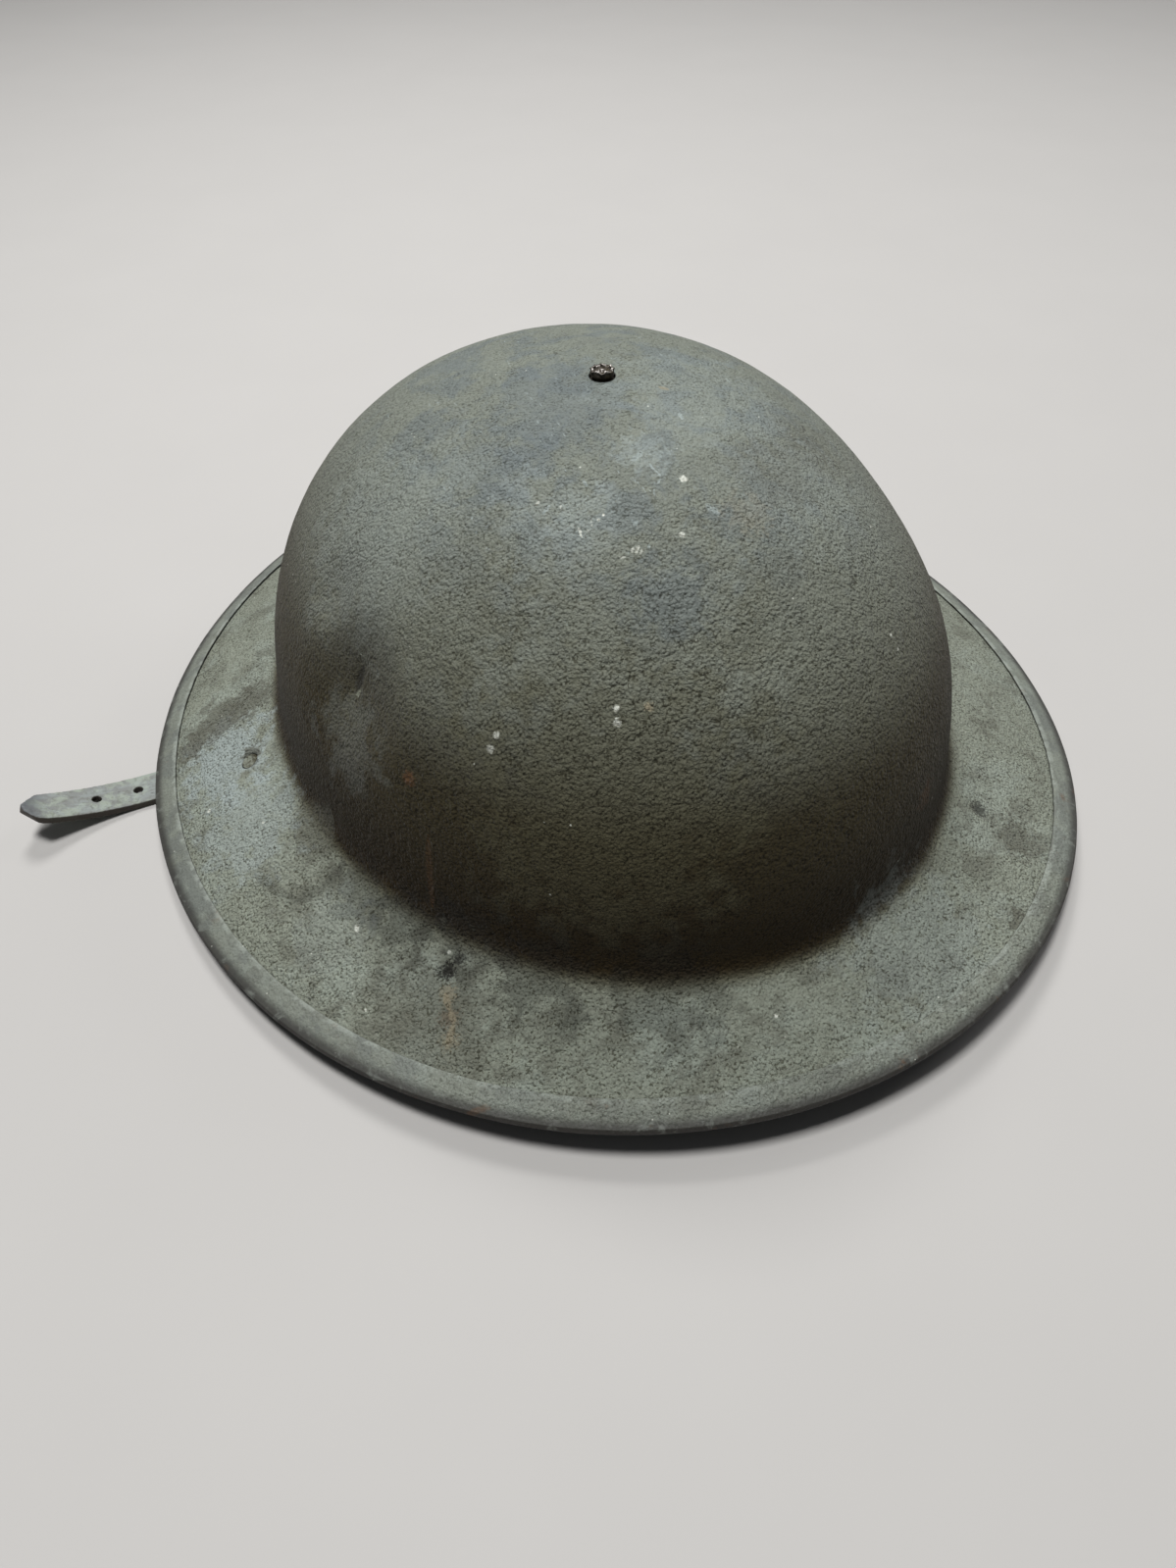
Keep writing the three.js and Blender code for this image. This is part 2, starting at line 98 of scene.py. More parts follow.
# Soft dents that the pressing got in use: place in millimetres, how far they reach, and how deep
DENTS = table(
    "place reach depth",
    ((-66.9, -33, 69.5), 25, 3.4),
    ((-62.4, -10.9, 82.5), 15, 1.3),
    ((-61, -30.6, 73.2), 3.4, 0.5),
    ((-62.6, -30.9, 70.8), 3.4, 0.6),
    ((-64, -31.2, 68.4), 3.4, 0.5),
    ((-65.5, -31.4, 66), 3.2, 0.3),
    ((-78.6, -44.7, 22.3), 7, 0.5),
    ((-85.3, -47.8, 18.8), 7, 0.6),
    ((-92.5, -46.8, 15.9), 7, 0.6),
    ((-100.2, -38.4, 14), 7, 0.5),
    ((92, -92.2, 16.4), 3.5, 0.6),
    ((98.3, -102.9, 12.1), 7, 0.7),
    ((106.5, -96, 11.3), 6, 0.5),
    ((81.9, -126.7, 11.5), 5, 0.4),
    ((-63.5, -85.9, 19.1), 4, 0.5),
    ((-92.5, 10.6, 17.9), 6, 0.7),
    ((19.8, -82.4, 92.3), 12, 0.5),
)

# Dents that reach less far than this, in millimetres, get a finer mesh first
FINE_REACH = 4.5

# Marks in the paint, in the order that they are laid: which finish shows, place and breadth in
# millimetres, how frayed the outline is, and how strongly it shows
MARKS = table(
    "finish place breadth fray strength",
    ("brown", (-42.7, -44, 93), 26, 1.1, 0.28),
    ("brown", (-14, -78, 89.5), 44, 1, 0.24),
    ("brown", (33, -82, 90), 40, 1, 0.2),
    ("brown", (-23.9, -94, 68), 42, 0.9, 0.35),
    # Painted sheen on the brim's left
    ("bleached", (-98.2, 19.2, 16), 18, 1, 0.4),
    ("bleached", (50, -126, 15.8), 26, 1, 0.24),
    # Painted blue-grey sheen on the crown
    ("blue", (1.2, -6.5, 117.9), 24, 0.8, 0.45),
    ("blue", (-20.3, -16.6, 111.9), 16, 0.9, 0.3),
    ("blue", (2.6, -67.7, 101.3), 13, 0.9, 0.5),
    # Painted whitish sheen on the crown
    ("bleached", (11.4, -33.1, 115.2), 8, 1.4, 0.3),
    ("bleached", (-13.7, -37.9, 109.9), 13, 1.5, 0.2),
    ("bleached", (-10.2, -46.7, 108), 13, 1.5, 0.2),
    ("shade", (41.7, -41.6, 109.1), 15, 0.9, 0.55),
    ("shade", (58, -30, 102), 16, 0.9, 0.45),
    ("tan", (28.8, -54.2, 107.4), 7, 1.3, 0.2),
    ("bleached", (37.5, -14, 115.8), 30, 1, 0.2),
    ("bleached", (47.3, -48.2, 105), 24, 1.1, 0.16),
    ("bleached", (-48, -11, 96.5), 34, 1, 0.15),
    ("bleached", (-70.5, -38, 59), 16, 1.1, 0.13),
    # Painted shade in the turn between wall and brim at the front, and on the brim beside it
    ("soot", (-62, -75, 26), 12, 1.1, 0.3),
    ("soot", (-76, -54, 21.7), 11, 1.2, 0.35),
    ("soot", (-68.4, -69.5, 21), 13, 1.2, 0.4),
    ("soot", (-42.9, -98, 22), 16, 1.2, 0.42),
    ("soot", (-16, -114, 22.6), 18, 1.2, 0.35),
    ("shade", (-75, -98, 12.5), 26, 1, 0.5),
    ("soot", (-54, -83, 24), 14, 1.1, 0.35),
    ("shade", (-82, -30, 23), 11, 1.1, 0.6),
    ("chip", (17.4, -42.8, 112.5), 1.22, 0.6, 0.95),
    ("chip", (10.5, -56.3, 107.5), 0.84, 0.6, 0.8),
    ("chip", (64.8, -53.6, 93.8), 0.65, 0.6, 0.7),
    ("chip", (-16.7, -81.7, 86.4), 0.97, 0.65, 0.95),
    ("chip", (-17.4, -83.8, 84.1), 1.22, 0.7, 0.95),
    ("tan", (-10.1, -84.5, 86.7), 1.4, 0.8, 0.8),
    ("chip", (-40.9, -71, 78.1), 1.03, 0.7, 0.7),
    ("chip", (-43, -71.9, 75.4), 1.22, 0.75, 0.6),
    ("chip", (4.2, -77.9, 95.5), 0.58, 0.6, 0.7),
    ("chip", (55.7, -80.2, 82.1), 0.7, 0.6, 0.8),
    ("chip", (56.7, -82.5, 79.1), 0.52, 0.6, 0.6),
    # Painted sheen on the brim's left
    ("bleached", (-101, 14, 14), 20, 1, 0.64),
    ("bleached", (-99, -15, 15.5), 20, 1.1, 0.46),
    ("bleached", (-88, -60, 15.5), 15, 1.1, 0.15),
    ("chip", (-109.1, -0.8, 11.6), 0.9, 0.65, 0.8),
    ("chip", (-95.5, -17.2, 17.4), 0.58, 0.6, 0.7),
    ("chip", (-80.8, -63.6, 18), 1.03, 0.75, 0.8),
    ("chip", (-61.5, -82, 20.8), 0.65, 0.65, 0.8),
    ("chip", (-84.8, -84.3, 12.3), 0.58, 0.65, 0.7),
    ("chip", (5.2, -128.5, 17.6), 0.65, 0.65, 0.9),
    ("rust", (-60.4, -60.2, 61.7), 2.4, 0.9, 0.75),
    ("rust", (61.6, -100.6, 44), 5, 1.2, 0.35),
    # Painted shade in the pit of a small dent
    ("soot", (-63.5, -85.9, 19.1), 3, 1, 0.9),
    ("soot", (-60, -84.9, 20.6), 2.2, 1.1, 0.8),
    ("tan", (-65.2, -91, 17.2), 2.8, 1.2, 0.5),
    ("rust", (-66.8, -96.4, 15.2), 3.2, 1.3, 0.3),
    ("tan", (-68.6, -101.5, 13.5), 2.8, 1.3, 0.45),
    # Painted shade in the nick and small dents on the brim's right
    ("soot", (92, -92.2, 16.4), 3.4, 0.9, 0.75),
    ("shade", (98.3, -102.9, 12.1), 9, 1, 0.7),
    ("shade", (107.5, -94, 11.4), 6, 1.1, 0.5),
    ("shade", (81.9, -126.7, 11.5), 5.5, 1.2, 0.8),
    ("shade", (-98.4, 35.1, 14.6), 12, 1.1, 0.75),
    ("shade", (-88.9, 33.3, 18.8), 10, 1.1, 0.7),
    ("shade", (-109, 30.5, 10.1), 9, 1.1, 0.75),
    # Painted shade in the crease on the brim's front left, and in a small dent on the brim's left
    ("shade", (-82, -46, 20.5), 6, 0.9, 0.5),
    ("shade", (-92.5, -46.8, 15.9), 6, 1, 0.5),
    ("shade", (-92.5, 10.6, 17.9), 5, 0.9, 0.8),
)

# Scratches and thin runs: which finish shows, their two ends and breadth in millimetres, and how
# strongly they show
STROKES = table(
    "finish start end breadth strength",
    # Painted shade along the crease on the brim's front left
    ("soot", (-78.6, -44.7, 22.3), (-85.3, -47.8, 18.8), 2.4, 0.3),
    ("soot", (-85.3, -47.8, 18.8), (-93.5, -46.3, 15.7), 2.2, 0.3),
    ("soot", (-93.5, -46.3, 15.7), (-101.2, -33.4, 13.8), 1.8, 0.25),
    ("bleached", (11.3, -36.1, 114.3), (12.7, -40.6, 113.1), 0.35, 0.7),
    ("bleached", (8.3, -34.4, 114.6), (11.9, -32.6, 115.3), 0.9, 0.5),
    ("chip", (-10.1, -45.4, 108.5), (-10.3, -48.2, 107.4), 0.4, 0.75),
    ("chip", (-6.8, -45.4, 109.4), (-7.2, -47, 108.7), 0.35, 0.45),
    ("chip", (-8.5, -47.1, 108.3), (-8.3, -48, 108), 0.4, 0.5),
    ("chip", (-3.8, -44.8, 110.3), (-4, -45.7, 109.9), 0.45, 0.9),
    ("chip", (-5.4, -45.6, 109.6), (-5.3, -46.4, 109.3), 0.35, 0.6),
    ("chip", (-16.3, -35.5, 109.6), (-15.2, -34.6, 110.3), 0.5, 0.5),
    ("bleached", (-15.6, -38.4, 109.1), (-13.5, -36.9, 110.2), 0.6, 0.6),
    ("chip", (-11.2, -37.3, 110.9), (-11.7, -40.1, 109.8), 0.4, 0.4),
    ("bleached", (-9.9, -38.1, 111), (-10.6, -40.5, 110), 0.4, 0.5),
    ("chip", (-1.8, -56.3, 106.2), (-1, -55.6, 106.6), 0.45, 0.55),
    ("chip", (-1.1, -57, 106), (0.3, -55.4, 106.9), 0.45, 0.5),
    ("chip", (-0.2, -57.6, 105.9), (0.7, -56.5, 106.5), 0.45, 0.45),
    ("chip", (-5.3, -56.2, 105.6), (-3.4, -56.8, 105.7), 0.4, 0.5),
    ("bleached", (-2.7, -56.3, 106), (-2.1, -55.9, 106.3), 0.4, 0.6),
    ("bleached", (9.4, -43.4, 112.2), (8.8, -45.3, 111.7), 0.35, 0.7),
    ("bleached", (10.9, -42.7, 112.5), (12.1, -41.3, 112.9), 0.35, 0.6),
    ("bleached", (26.5, -21.6, 116.7), (26.2, -24.7, 116.2), 0.7, 0.7),
    ("bleached", (-4, -34.4, 113), (-4.3, -36.8, 112.4), 0.4, 0.6),
    ("bleached", (8.2, -63.7, 104.3), (9.2, -62.5, 104.8), 0.45, 0.7),
    ("bleached", (1.4, -49.3, 109.5), (2.2, -50.6, 109.1), 0.8, 0.6),
    ("bleached", (19.3, -50.7, 109.8), (21.3, -53.9, 108.4), 1, 0.55),
    ("soot", (-22.9, -39.7, 106.1), (-21.7, -41.6, 105.9), 0.4, 0.6),
    ("soot", (-6.9, -17.6, 115.7), (-6.4, -19.5, 115.5), 0.35, 0.45),
    ("tan", (26.5, -10.5, 118), (28.2, -12, 117.6), 0.8, 0.6),
    ("bleached", (1.9, -57, 106.5), (2.7, -56.4, 106.9), 0.4, 0.6),
    # Painted shade along the groove of the dent on the left flank
    ("soot", (-61, -30.6, 73.2), (-65.3, -31.4, 66.5), 1.7, 0.7),
    ("soot", (-22.7, -50.3, 102.3), (-19.9, -51.3, 103.2), 0.4, 0.4),
    ("rust", (-59.4, -68.8, 51), (-61.9, -71.8, 27.2), 1.2, 0.28),
    ("tan", (-65.9, -90.4, 17.3), (-66.2, -94.8, 16), 1, 0.6),
    ("tan", (-66.2, -94.8, 16), (-66, -98.6, 15), 1, 0.5),
    ("tan", (-66.3, -98.5, 15), (-69.3, -101.9, 13.2), 1, 0.55),
)

# The slanting cuts at the strap's point: a place in millimetres, and the way that is cut off
POINT_CUTS = [((-158.0, 25.8, 9.0), (-0.839, 0.545, 0)), ((-158.05, 19.35, 9.0), (-0.721, -0.693, 0))]

# How far the crown rivet's torn lip stands, tooth by tooth, as shares of its height
LIP_TEETH = [0.72, 0.42, 0.66, 0.4, 0.62, 0.45, 0.85, 0.6, 0.98, 0.7, 1.0, 0.66, 0.95, 0.55]


def length(name, description, default):
    return FloatProperty(name=name, description=description, default=default, unit="LENGTH", precision=5)


def number(name, description, default):
    return FloatProperty(name=name, description=description, default=default, min=0)


def power(name, description, default):
    return FloatProperty(name=name, description=description, default=default, unit="POWER")


def colour(name, description, default):
    return FloatVectorProperty(name=name, description=description, default=default, subtype="COLOR", size=3)


class HelmetPaint(bpy.types.PropertyGroup):
    grain_size: length("Grain size", "Breadth of the coarse sand in the paint", 0.00078)
    grain_height: length("Grain height", "How far the sand stands up", 0.00072)
    ripple_size: length("Ripple size", "Breadth of the pressing's unevenness", 0.018)
    ripple_height: length("Ripple height", "Depth of the pressing's unevenness", 0.00034)
    olive: colour("Olive", "Main colour of the paint", (0.185, 0.188, 0.134))
    # Also laid on up-facing faces, as dust and a painted sheen
    worn: colour("Worn", "Paler grey-green where the paint is rubbed", (0.285, 0.318, 0.270))
    # Also laid in marks as painted shade in dents, creases and the front of the brim
    shade: colour("Shade", "Darker mottling", (0.110, 0.110, 0.085))
    # Laid on the steep wall as dirt and painted shade
    soil_and_shade: colour("Soil", "Dark brown dirt on the steep wall", (0.034, 0.025, 0.008))
    brown: colour("Brown", "Grimy warm paint low on the dome", (0.100, 0.096, 0.058))
    # Earth, painted shade and a painted warm reflection, low on the wall
    foot: colour("Foot", "Dark earth in the turn between wall and brim", (0.022, 0.0125, 0.003))
    cool: colour("Cool", "Cooler grey of the upper dome", (0.185, 0.207, 0.186))
    # A painted sheen, laid on the crown and in marks
    blue: colour("Blue", "Blue-grey sheen on the crown", (0.128, 0.152, 0.160))
    # Also a painted sheen, in marks on the crown and the brim's left
    bleached: colour("Bleached", "Whitish rubbed paint", (0.330, 0.380, 0.370))
    chip: colour("Chip", "White flecks", (0.700, 0.720, 0.640))
    tan: colour("Tan", "Dry tan stain", (0.290, 0.252, 0.170))
    rust: colour("Rust", "Brown rust", (0.130, 0.066, 0.030))
    # Black grime, and painted shade in the creases, the dents and the front turn between wall and brim
    soot: colour("Soot", "Black grime in the creases", (0.018, 0.017, 0.015))


class HelmetRim(bpy.types.PropertyGroup):
    slate: colour("Slate", "Dark slate paint of the folded rim", (0.132, 0.143, 0.131))
    # Bare metal at the very edge, and painted shade on the fold's sides that do not face up
    edge: colour("Edge", "Bare dark metal at the outer edge", (0.030, 0.027, 0.025))
    # Rubbed paint, and a painted highlight where the fold's inner line faces up
    ridge: colour("Ridge", "Rubbed line at the fold's inner edge", (0.320, 0.350, 0.310))
    waviness: length("Waviness", "How uneven the fold is", 0.00022)


class HelmetHardware(bpy.types.PropertyGroup):
    steel: colour("Steel", "Dark steel of the loops and buckle", (0.075, 0.074, 0.070))
    copper: colour("Copper", "Dark wall of the crown rivet", (0.050, 0.040, 0.030))
    bright: colour("Bright", "Bare metal on the torn lip", (0.740, 0.690, 0.650))
    lip_height: length("Lip height", "How far the crown rivet's lip stands", 0.0021)
    lip_wall: length("Lip wall", "Thickness of the crown rivet's wall", 0.0005)


class HelmetStrap(bpy.types.PropertyGroup):
    leather: colour("Leather", "Dry grey face of the strap", (0.208, 0.218, 0.208))
    side: colour("Side", "Dark cut edge", (0.040, 0.030, 0.022))
    tip: colour("Tip", "Dark sheen at the strap's point", (0.070, 0.075, 0.086))
    voxel: length("Voxel", "How finely the leather is remade", 0.00036)


class HelmetStage(bpy.types.PropertyGroup):
    floor: colour("Floor", "Plain pale floor", (0.50, 0.487, 0.47))
    key_power: power("Key power", "Soft light from behind", 11)
    side_power: power("Side power", "Soft light from the right", 3)
    top_power: power("Top power", "Broad light overhead", 20)
    sky: number("Sky", "Strength of the even light all round", 0.07)
    focal_pixels: number("Focal length", "In pixels of the whole frame", 1108)


class HelmetSettings(bpy.types.PropertyGroup):
    paint: PointerProperty(type=HelmetPaint)
    rim: PointerProperty(type=HelmetRim)
    hardware: PointerProperty(type=HelmetHardware)
    strap: PointerProperty(type=HelmetStrap)
    stage: PointerProperty(type=HelmetStage)


# Node trees


def add(tree, kind, sockets=None, **settings):
    """Adds a node, sets it up, and fills its sockets with values or with other nodes' outputs."""
    made = tree.nodes.new("ShaderNode" + kind)
    for name, value in settings.items():
        setattr(made, name, value)
    for name, value in (sockets or {}).items():
        if isinstance(value, bpy.types.NodeSocket):
            tree.links.new(value, made.inputs[name])
        else:
            made.inputs[name].default_value = value
    return made


def maths(tree, operation, first, second=0.0, clamp=False):
    return add(tree, "Math", {0: first, 1: second}, operation=operation, use_clamp=clamp).outputs[0]


def times(tree, first, second, clamp=False):
    return maths(tree, "MULTIPLY", first, second, clamp)


def plus(tree, first, second, clamp=False):
    return maths(tree, "ADD", first, second, clamp)


def minus(tree, first, second, clamp=False):
    return maths(tree, "SUBTRACT", first, second, clamp)


def distance(tree, first, second):
    return add(tree, "VectorMath", {0: first, 1: second}, operation="DISTANCE").outputs["Value"]


def rise(tree, value, low, high):
    """0 at low and 1 at high, with a soft turn at both; low may be the larger."""
    sockets = {"Value": value, "From Min": low, "From Max": high}
    return add(tree, "MapRange", sockets, interpolation_type="SMOOTHSTEP").outputs["Result"]


def layer(tree, factor, under, over, blend_type="MIX"):
    under, over = (rgba(side) for side in (under, over))
    sockets = {0: factor, 6: under, 7: over}
    return add(tree, "Mix", sockets, data_type="RGBA", blend_type=blend_type).outputs[2]


def rgba(value):
    return value if isinstance(value, bpy.types.NodeSocket) else (*value, 1)


def noise(tree, vector, size, detail=2.0, roughness=0.5, distortion=0.0):
    """Noise whose features are about size across; size is a number or a socket."""
    scale = maths(tree, "DIVIDE", 1.0, size)
    sockets = {"Vector": vector, "Scale": scale, "Detail": detail}
    sockets |= {"Roughness": roughness, "Distortion": distortion}
    return add(tree, "TexNoise", sockets).outputs["Fac"]


def new_group(name, inputs, outputs):
    tree = bpy.data.node_groups.new(name, "ShaderNodeTree")
    for label, kind in inputs.items():
        tree.interface.new_socket(label, in_out="INPUT", socket_type="NodeSocket" + kind)
    for label in outputs:
        kind = "Color" if label == "Color" else "Float"
        tree.interface.new_socket(label, in_out="OUTPUT", socket_type="NodeSocket" + kind)
    return tree, tree.nodes.new("NodeGroupInput").outputs, tree.nodes.new("NodeGroupOutput").inputs


# What a group needs to lay its own colour over another
LAID = {"Under": "Color", "Tint": "Color", "Strength": "Float"}


def lay_tint(tree, given, out, mask):
    factor = times(tree, mask, given["Strength"])
    tree.links.new(layer(tree, factor, given["Under"], given["Tint"]), out["Color"])


def make_sand_grain():
    """Coarse sand in paint: rounded lumps of uneven height and the dark pits between them."""
    inputs = {"Vector": "Vector", "Size": "Float", "Coverage": "Float"}
    tree, given, out = new_group("sand_grain", inputs, ["Height", "Pits"])
    place = given["Vector"]
    size = given["Size"]
    crumbs = rise(tree, noise(tree, place, size, 1.6, 0.45), 0.25, 0.75)
    warp = add(tree, "TexNoise", {"Vector": place, "Scale": maths(tree, "DIVIDE", 1.6, size)})
    offset = add(tree, "VectorMath", {0: warp.outputs["Color"], 3: size}, operation="SCALE").outputs[0]
    moved = add(tree, "VectorMath", {0: place, 1: offset}, operation="ADD").outputs[0]
    cells = add(tree, "TexVoronoi", {"Vector": moved, "Scale": maths(tree, "DIVIDE", 0.9, size)})
    tall = add(tree, "SeparateColor", {"Color": cells.outputs["Color"]}).outputs["Red"]
    tall = plus(tree, 0.35, times(tree, tall, 0.75))
    beads = times(tree, rise(tree, cells.outputs["Distance"], 0.85, 0.1), tall)
    clumps = rise(tree, noise(tree, place, times(tree, size, 3.1), 2.0), 0.25, 0.75)
    fine = plus(tree, times(tree, crumbs, 0.4), times(tree, beads, 0.75))
    height = plus(tree, times(tree, fine, 0.72), times(tree, clumps, 0.45))
    grit = noise(tree, place, times(tree, size, 0.85), 1.5, 0.5)
    rough = plus(tree, times(tree, height, 0.3), times(tree, grit, 1.2))
    pits = rise(tree, rough, 0.74, 0.5)
    tree.links.new(times(tree, height, given["Coverage"]), out["Height"])
    tree.links.new(times(tree, pits, given["Coverage"], True), out["Pits"])
    return tree


def make_mottle():
    """Soft-edged blotches that cover about the given share of the surface."""
    inputs = {"Vector": "Vector", "Size": "Float", "Share": "Float"}
    tree, given, out = new_group("mottle", inputs, ["Mask"])
    cloud = noise(tree, given["Vector"], given["Size"], 5.0, 0.62, 0.4)
    start = minus(tree, 0.64, times(tree, given["Share"], 0.34))
    tree.links.new(rise(tree, cloud, start, plus(tree, start, 0.14)), out["Mask"])
    return tree


def make_patch():
    """Lays one mark round a place over a colour; the ragged value it is given frays its outline."""
    inputs = {"Vector": "Vector", "Centre": "Vector"}
    inputs |= {"Breadth": "Float", "Fray": "Float", "Ragged": "Float"}
    tree, given, out = new_group("patch", LAID | inputs, ["Color"])
    away = distance(tree, given["Vector"], given["Centre"])
    share = maths(tree, "DIVIDE", away, given["Breadth"])
    sockets = {0: given["Ragged"], 1: given["Fray"], 2: share}
    fuzzy = add(tree, "Math", sockets, operation="MULTIPLY_ADD").outputs[0]
    lay_tint(tree, given, out, rise(tree, fuzzy, 1.0, 0.45))
    return tree


def make_stroke():
    """Lays a thin line that tapers at both its ends over a colour."""
    inputs = {"Vector": "Vector", "Start": "Vector", "End": "Vector", "Breadth": "Float"}
    tree, given, out = new_group("stroke", LAID | inputs, ["Color"])

    def path_by(share):
        """The way from end to end by a point that lies a share of the breadth beside the line's middle."""
        whole = maths(tree, "POWER", distance(tree, given["Start"], given["End"]), 2.0)
        aside = maths(tree, "POWER", times(tree, given["Breadth"], 2 * share), 2.0)
        return maths(tree, "SQRT", plus(tree, whole, aside))

    ends = (distance(tree, given["Vector"], given[end]) for end in ("Start", "End"))
    mask = rise(tree, plus(tree, *ends), path_by(1.1), path_by(0.5))
    lay_tint(tree, given, out, mask)
    return tree


def make_specks():
    """Small scattered flecks; the share is how many of the cells hold one."""
    inputs = {"Vector": "Vector", "Size": "Float", "Share": "Float"}
    tree, given, out = new_group("specks", inputs, ["Mask"])
    scale = maths(tree, "DIVIDE", 0.3, given["Size"])
    wobble = noise(tree, given["Vector"], given["Size"], 2.0)
    cells = add(tree, "TexVoronoi", {"Vector": given["Vector"], "Scale": scale})
    away = plus(tree, cells.outputs["Distance"], times(tree, wobble, 0.16))
    chosen = add(tree, "SeparateColor", {"Color": cells.outputs["Color"]}).outputs["Red"]
    dot = rise(tree, away, 0.26, 0.18)
    kept = maths(tree, "LESS_THAN", chosen, given["Share"])
    tree.links.new(times(tree, dot, kept), out["Mask"])
    return tree


def make_scratches():
    """Fine scratches that run along the stretched axis of the vector they are given."""
    inputs = {"Vector": "Vector", "Size": "Float"}
    tree, given, out = new_group("scratches", inputs, ["Mask"])
    line = noise(tree, given["Vector"], given["Size"], 3.0, 0.7)
    where = noise(tree, given["Vector"], times(tree, given["Size"], 9.0), 2.0)
    thin = rise(tree, line, 0.64, 0.72)
    tree.links.new(times(tree, thin, rise(tree, where, 0.45, 0.6)), out["Mask"])
    return tree


EFFECTS = {
    "sand_grain": make_sand_grain,
    "mottle": make_mottle,
    "patch": make_patch,
    "stroke": make_stroke,
    "specks": make_specks,
    "scratches": make_scratches,
}


def effect(tree, name, output="Mask", **sockets):
    """Places a shared effect, making its node group the first time it is asked for."""
    group = bpy.data.node_groups.get(name) or EFFECTS[name]()
    given = {label.capitalize(): value for label, value in sockets.items()}
    return add(tree, "Group", given, node_tree=group).outputs[output]


def mottle(tree, place, size, share):
    """Blotches of about a size in millimetres over a share of the surface."""
    return effect(tree, "mottle", vector=place, size=size * MM, share=share)


def wash(tree, base, tint, mask, strength):
    """Lays a tint over a colour where the mask is, at the given strength."""
    return layer(tree, times(tree, mask, strength), base, tint)


def sink_pits(tree, pits, base):
    """Darkens the pits between the grains of sand, as painted shade in the crevices."""
    return layer(tree, times(tree, pits, 0.8), base, PIT_SHADE, "MULTIPLY")


def new_material(name, **constants):
    """A material with one Principled shader whose plain sockets hold the given constants."""
    material = bpy.data.materials.new(name)
    material.use_nodes = True
    tree = material.node_tree
    shader = tree.nodes["Principled BSDF"]
    for label, value in constants.items():
        shader.inputs[label.replace("_", " ")].default_value = value
    return material, tree, shader


def object_place(tree):
    return add(tree, "TexCoord").outputs["Object"]


def facing_up(tree):
    normal = add(tree, "NewGeometry").outputs["Normal"]
    return add(tree, "SeparateXYZ", {0: normal}).outputs["Z"]


def height_of(tree, place):
    return add(tree, "SeparateXYZ", {0: place}).outputs["Z"]


def bump(tree, shader, height, distance, strength=1.0, under=None):
    """A bump layer on top of the one under it; the last one made feeds the shader."""
    sockets = {"Height": height, "Distance": distance, "Strength": strength}
    if under is not None:
        sockets["Normal"] = under
    normal = add(tree, "Bump", sockets).outputs["Normal"]
    tree.links.new(normal, shader.inputs["Normal"])
    return normal


def feed(tree, shader, **links):
    for label, output in links.items():
        tree.links.new(output, shader.inputs[label.replace("_", " ")])


def paint_marks(tree, place, base, paint):
    """Lays the tables' marks and scratches over a colour; a row's finish is one of the paint's colours."""
    ragged = {}
    for size in (0.7, 2.2, 6.0):
        cloud = minus(tree, noise(tree, place, size * MM, 4.0, 0.65), 0.5)
        ragged[size] = times(tree, cloud, 2.6)
    for mark in MARKS:
        grade = min(ragged, key=lambda size: abs(size - 0.4 * mark.breadth))
        sockets = {"centre": Vector(mark.place) * MM, "breadth": mark.breadth * MM, "fray": mark.fray}
        sockets |= {"under": base, "tint": rgba(getattr(paint, mark.finish)), "strength": mark.strength}
        base = effect(tree, "patch", "Color", vector=place, ragged=ragged[grade], **sockets)
    shaky = add(tree, "TexNoise", {"Vector": place, "Scale": 1 / (1.5 * MM), "Detail": 3.0})
    offset = add(tree, "VectorMath", {0: shaky.outputs["Color"], 3: 1.2 * MM}, operation="SCALE").outputs[0]
    middle = add(tree, "VectorMath", {0: offset, 1: (0.6 * MM,) * 3}, operation="SUBTRACT").outputs[0]
    moved = add(tree, "VectorMath", {0: place, 1: middle}, operation="ADD").outputs[0]
    for stroke in STROKES:
        sockets = {"start": Vector(stroke.start) * MM, "end": Vector(stroke.end) * MM}
        sockets |= {"under": base, "tint": rgba(getattr(paint, stroke.finish)), "strength": stroke.strength}
        base = effect(tree, "stroke", "Color", vector=moved, breadth=stroke.breadth * MM, **sockets)
    return base


def olive_coat(tree, place, paint, coverage):
    """The sanded olive paint that the pressed pieces share: its colour, its grain and the grain's pits."""
    up = facing_up(tree)
    # Up-facing faces take the paler worn colour: dust and a painted sheen
    level = rise(tree, up, 0.62, 0.96)
    wall = rise(tree, up, 0.84, 0.42)
    broad = mottle(tree, place, 30, 0.5)
    high = rise(tree, height_of(tree, place), 30 * MM, 92 * MM)
    most = minus(tree, 0.95, times(tree, high, 0.7))
    rubbed = plus(tree, 0.65, times(tree, broad, 0.35))
    rubbed = times(tree, times(tree, rubbed, most), level)
    base = layer(tree, rubbed, paint.olive, paint.worn)
    dull = mottle(tree, place, 11, 0.4)
    base = wash(tree, base, paint.shade, dull, 0.5)
    fine = mottle(tree, place, 2.4, 0.45)
    base = wash(tree, base, paint.shade, fine, 0.34)
    # Steep faces are darkened towards the dark brown: dirt and painted shade
    base = wash(tree, base, paint.soil_and_shade, wall, 0.91)
    sockets = {"vector": place, "size": paint.grain_size, "coverage": coverage}
    grain = effect(tree, "sand_grain", "Height", **sockets)
    pits = effect(tree, "sand_grain", "Pits", **sockets)
    return base, grain, pits


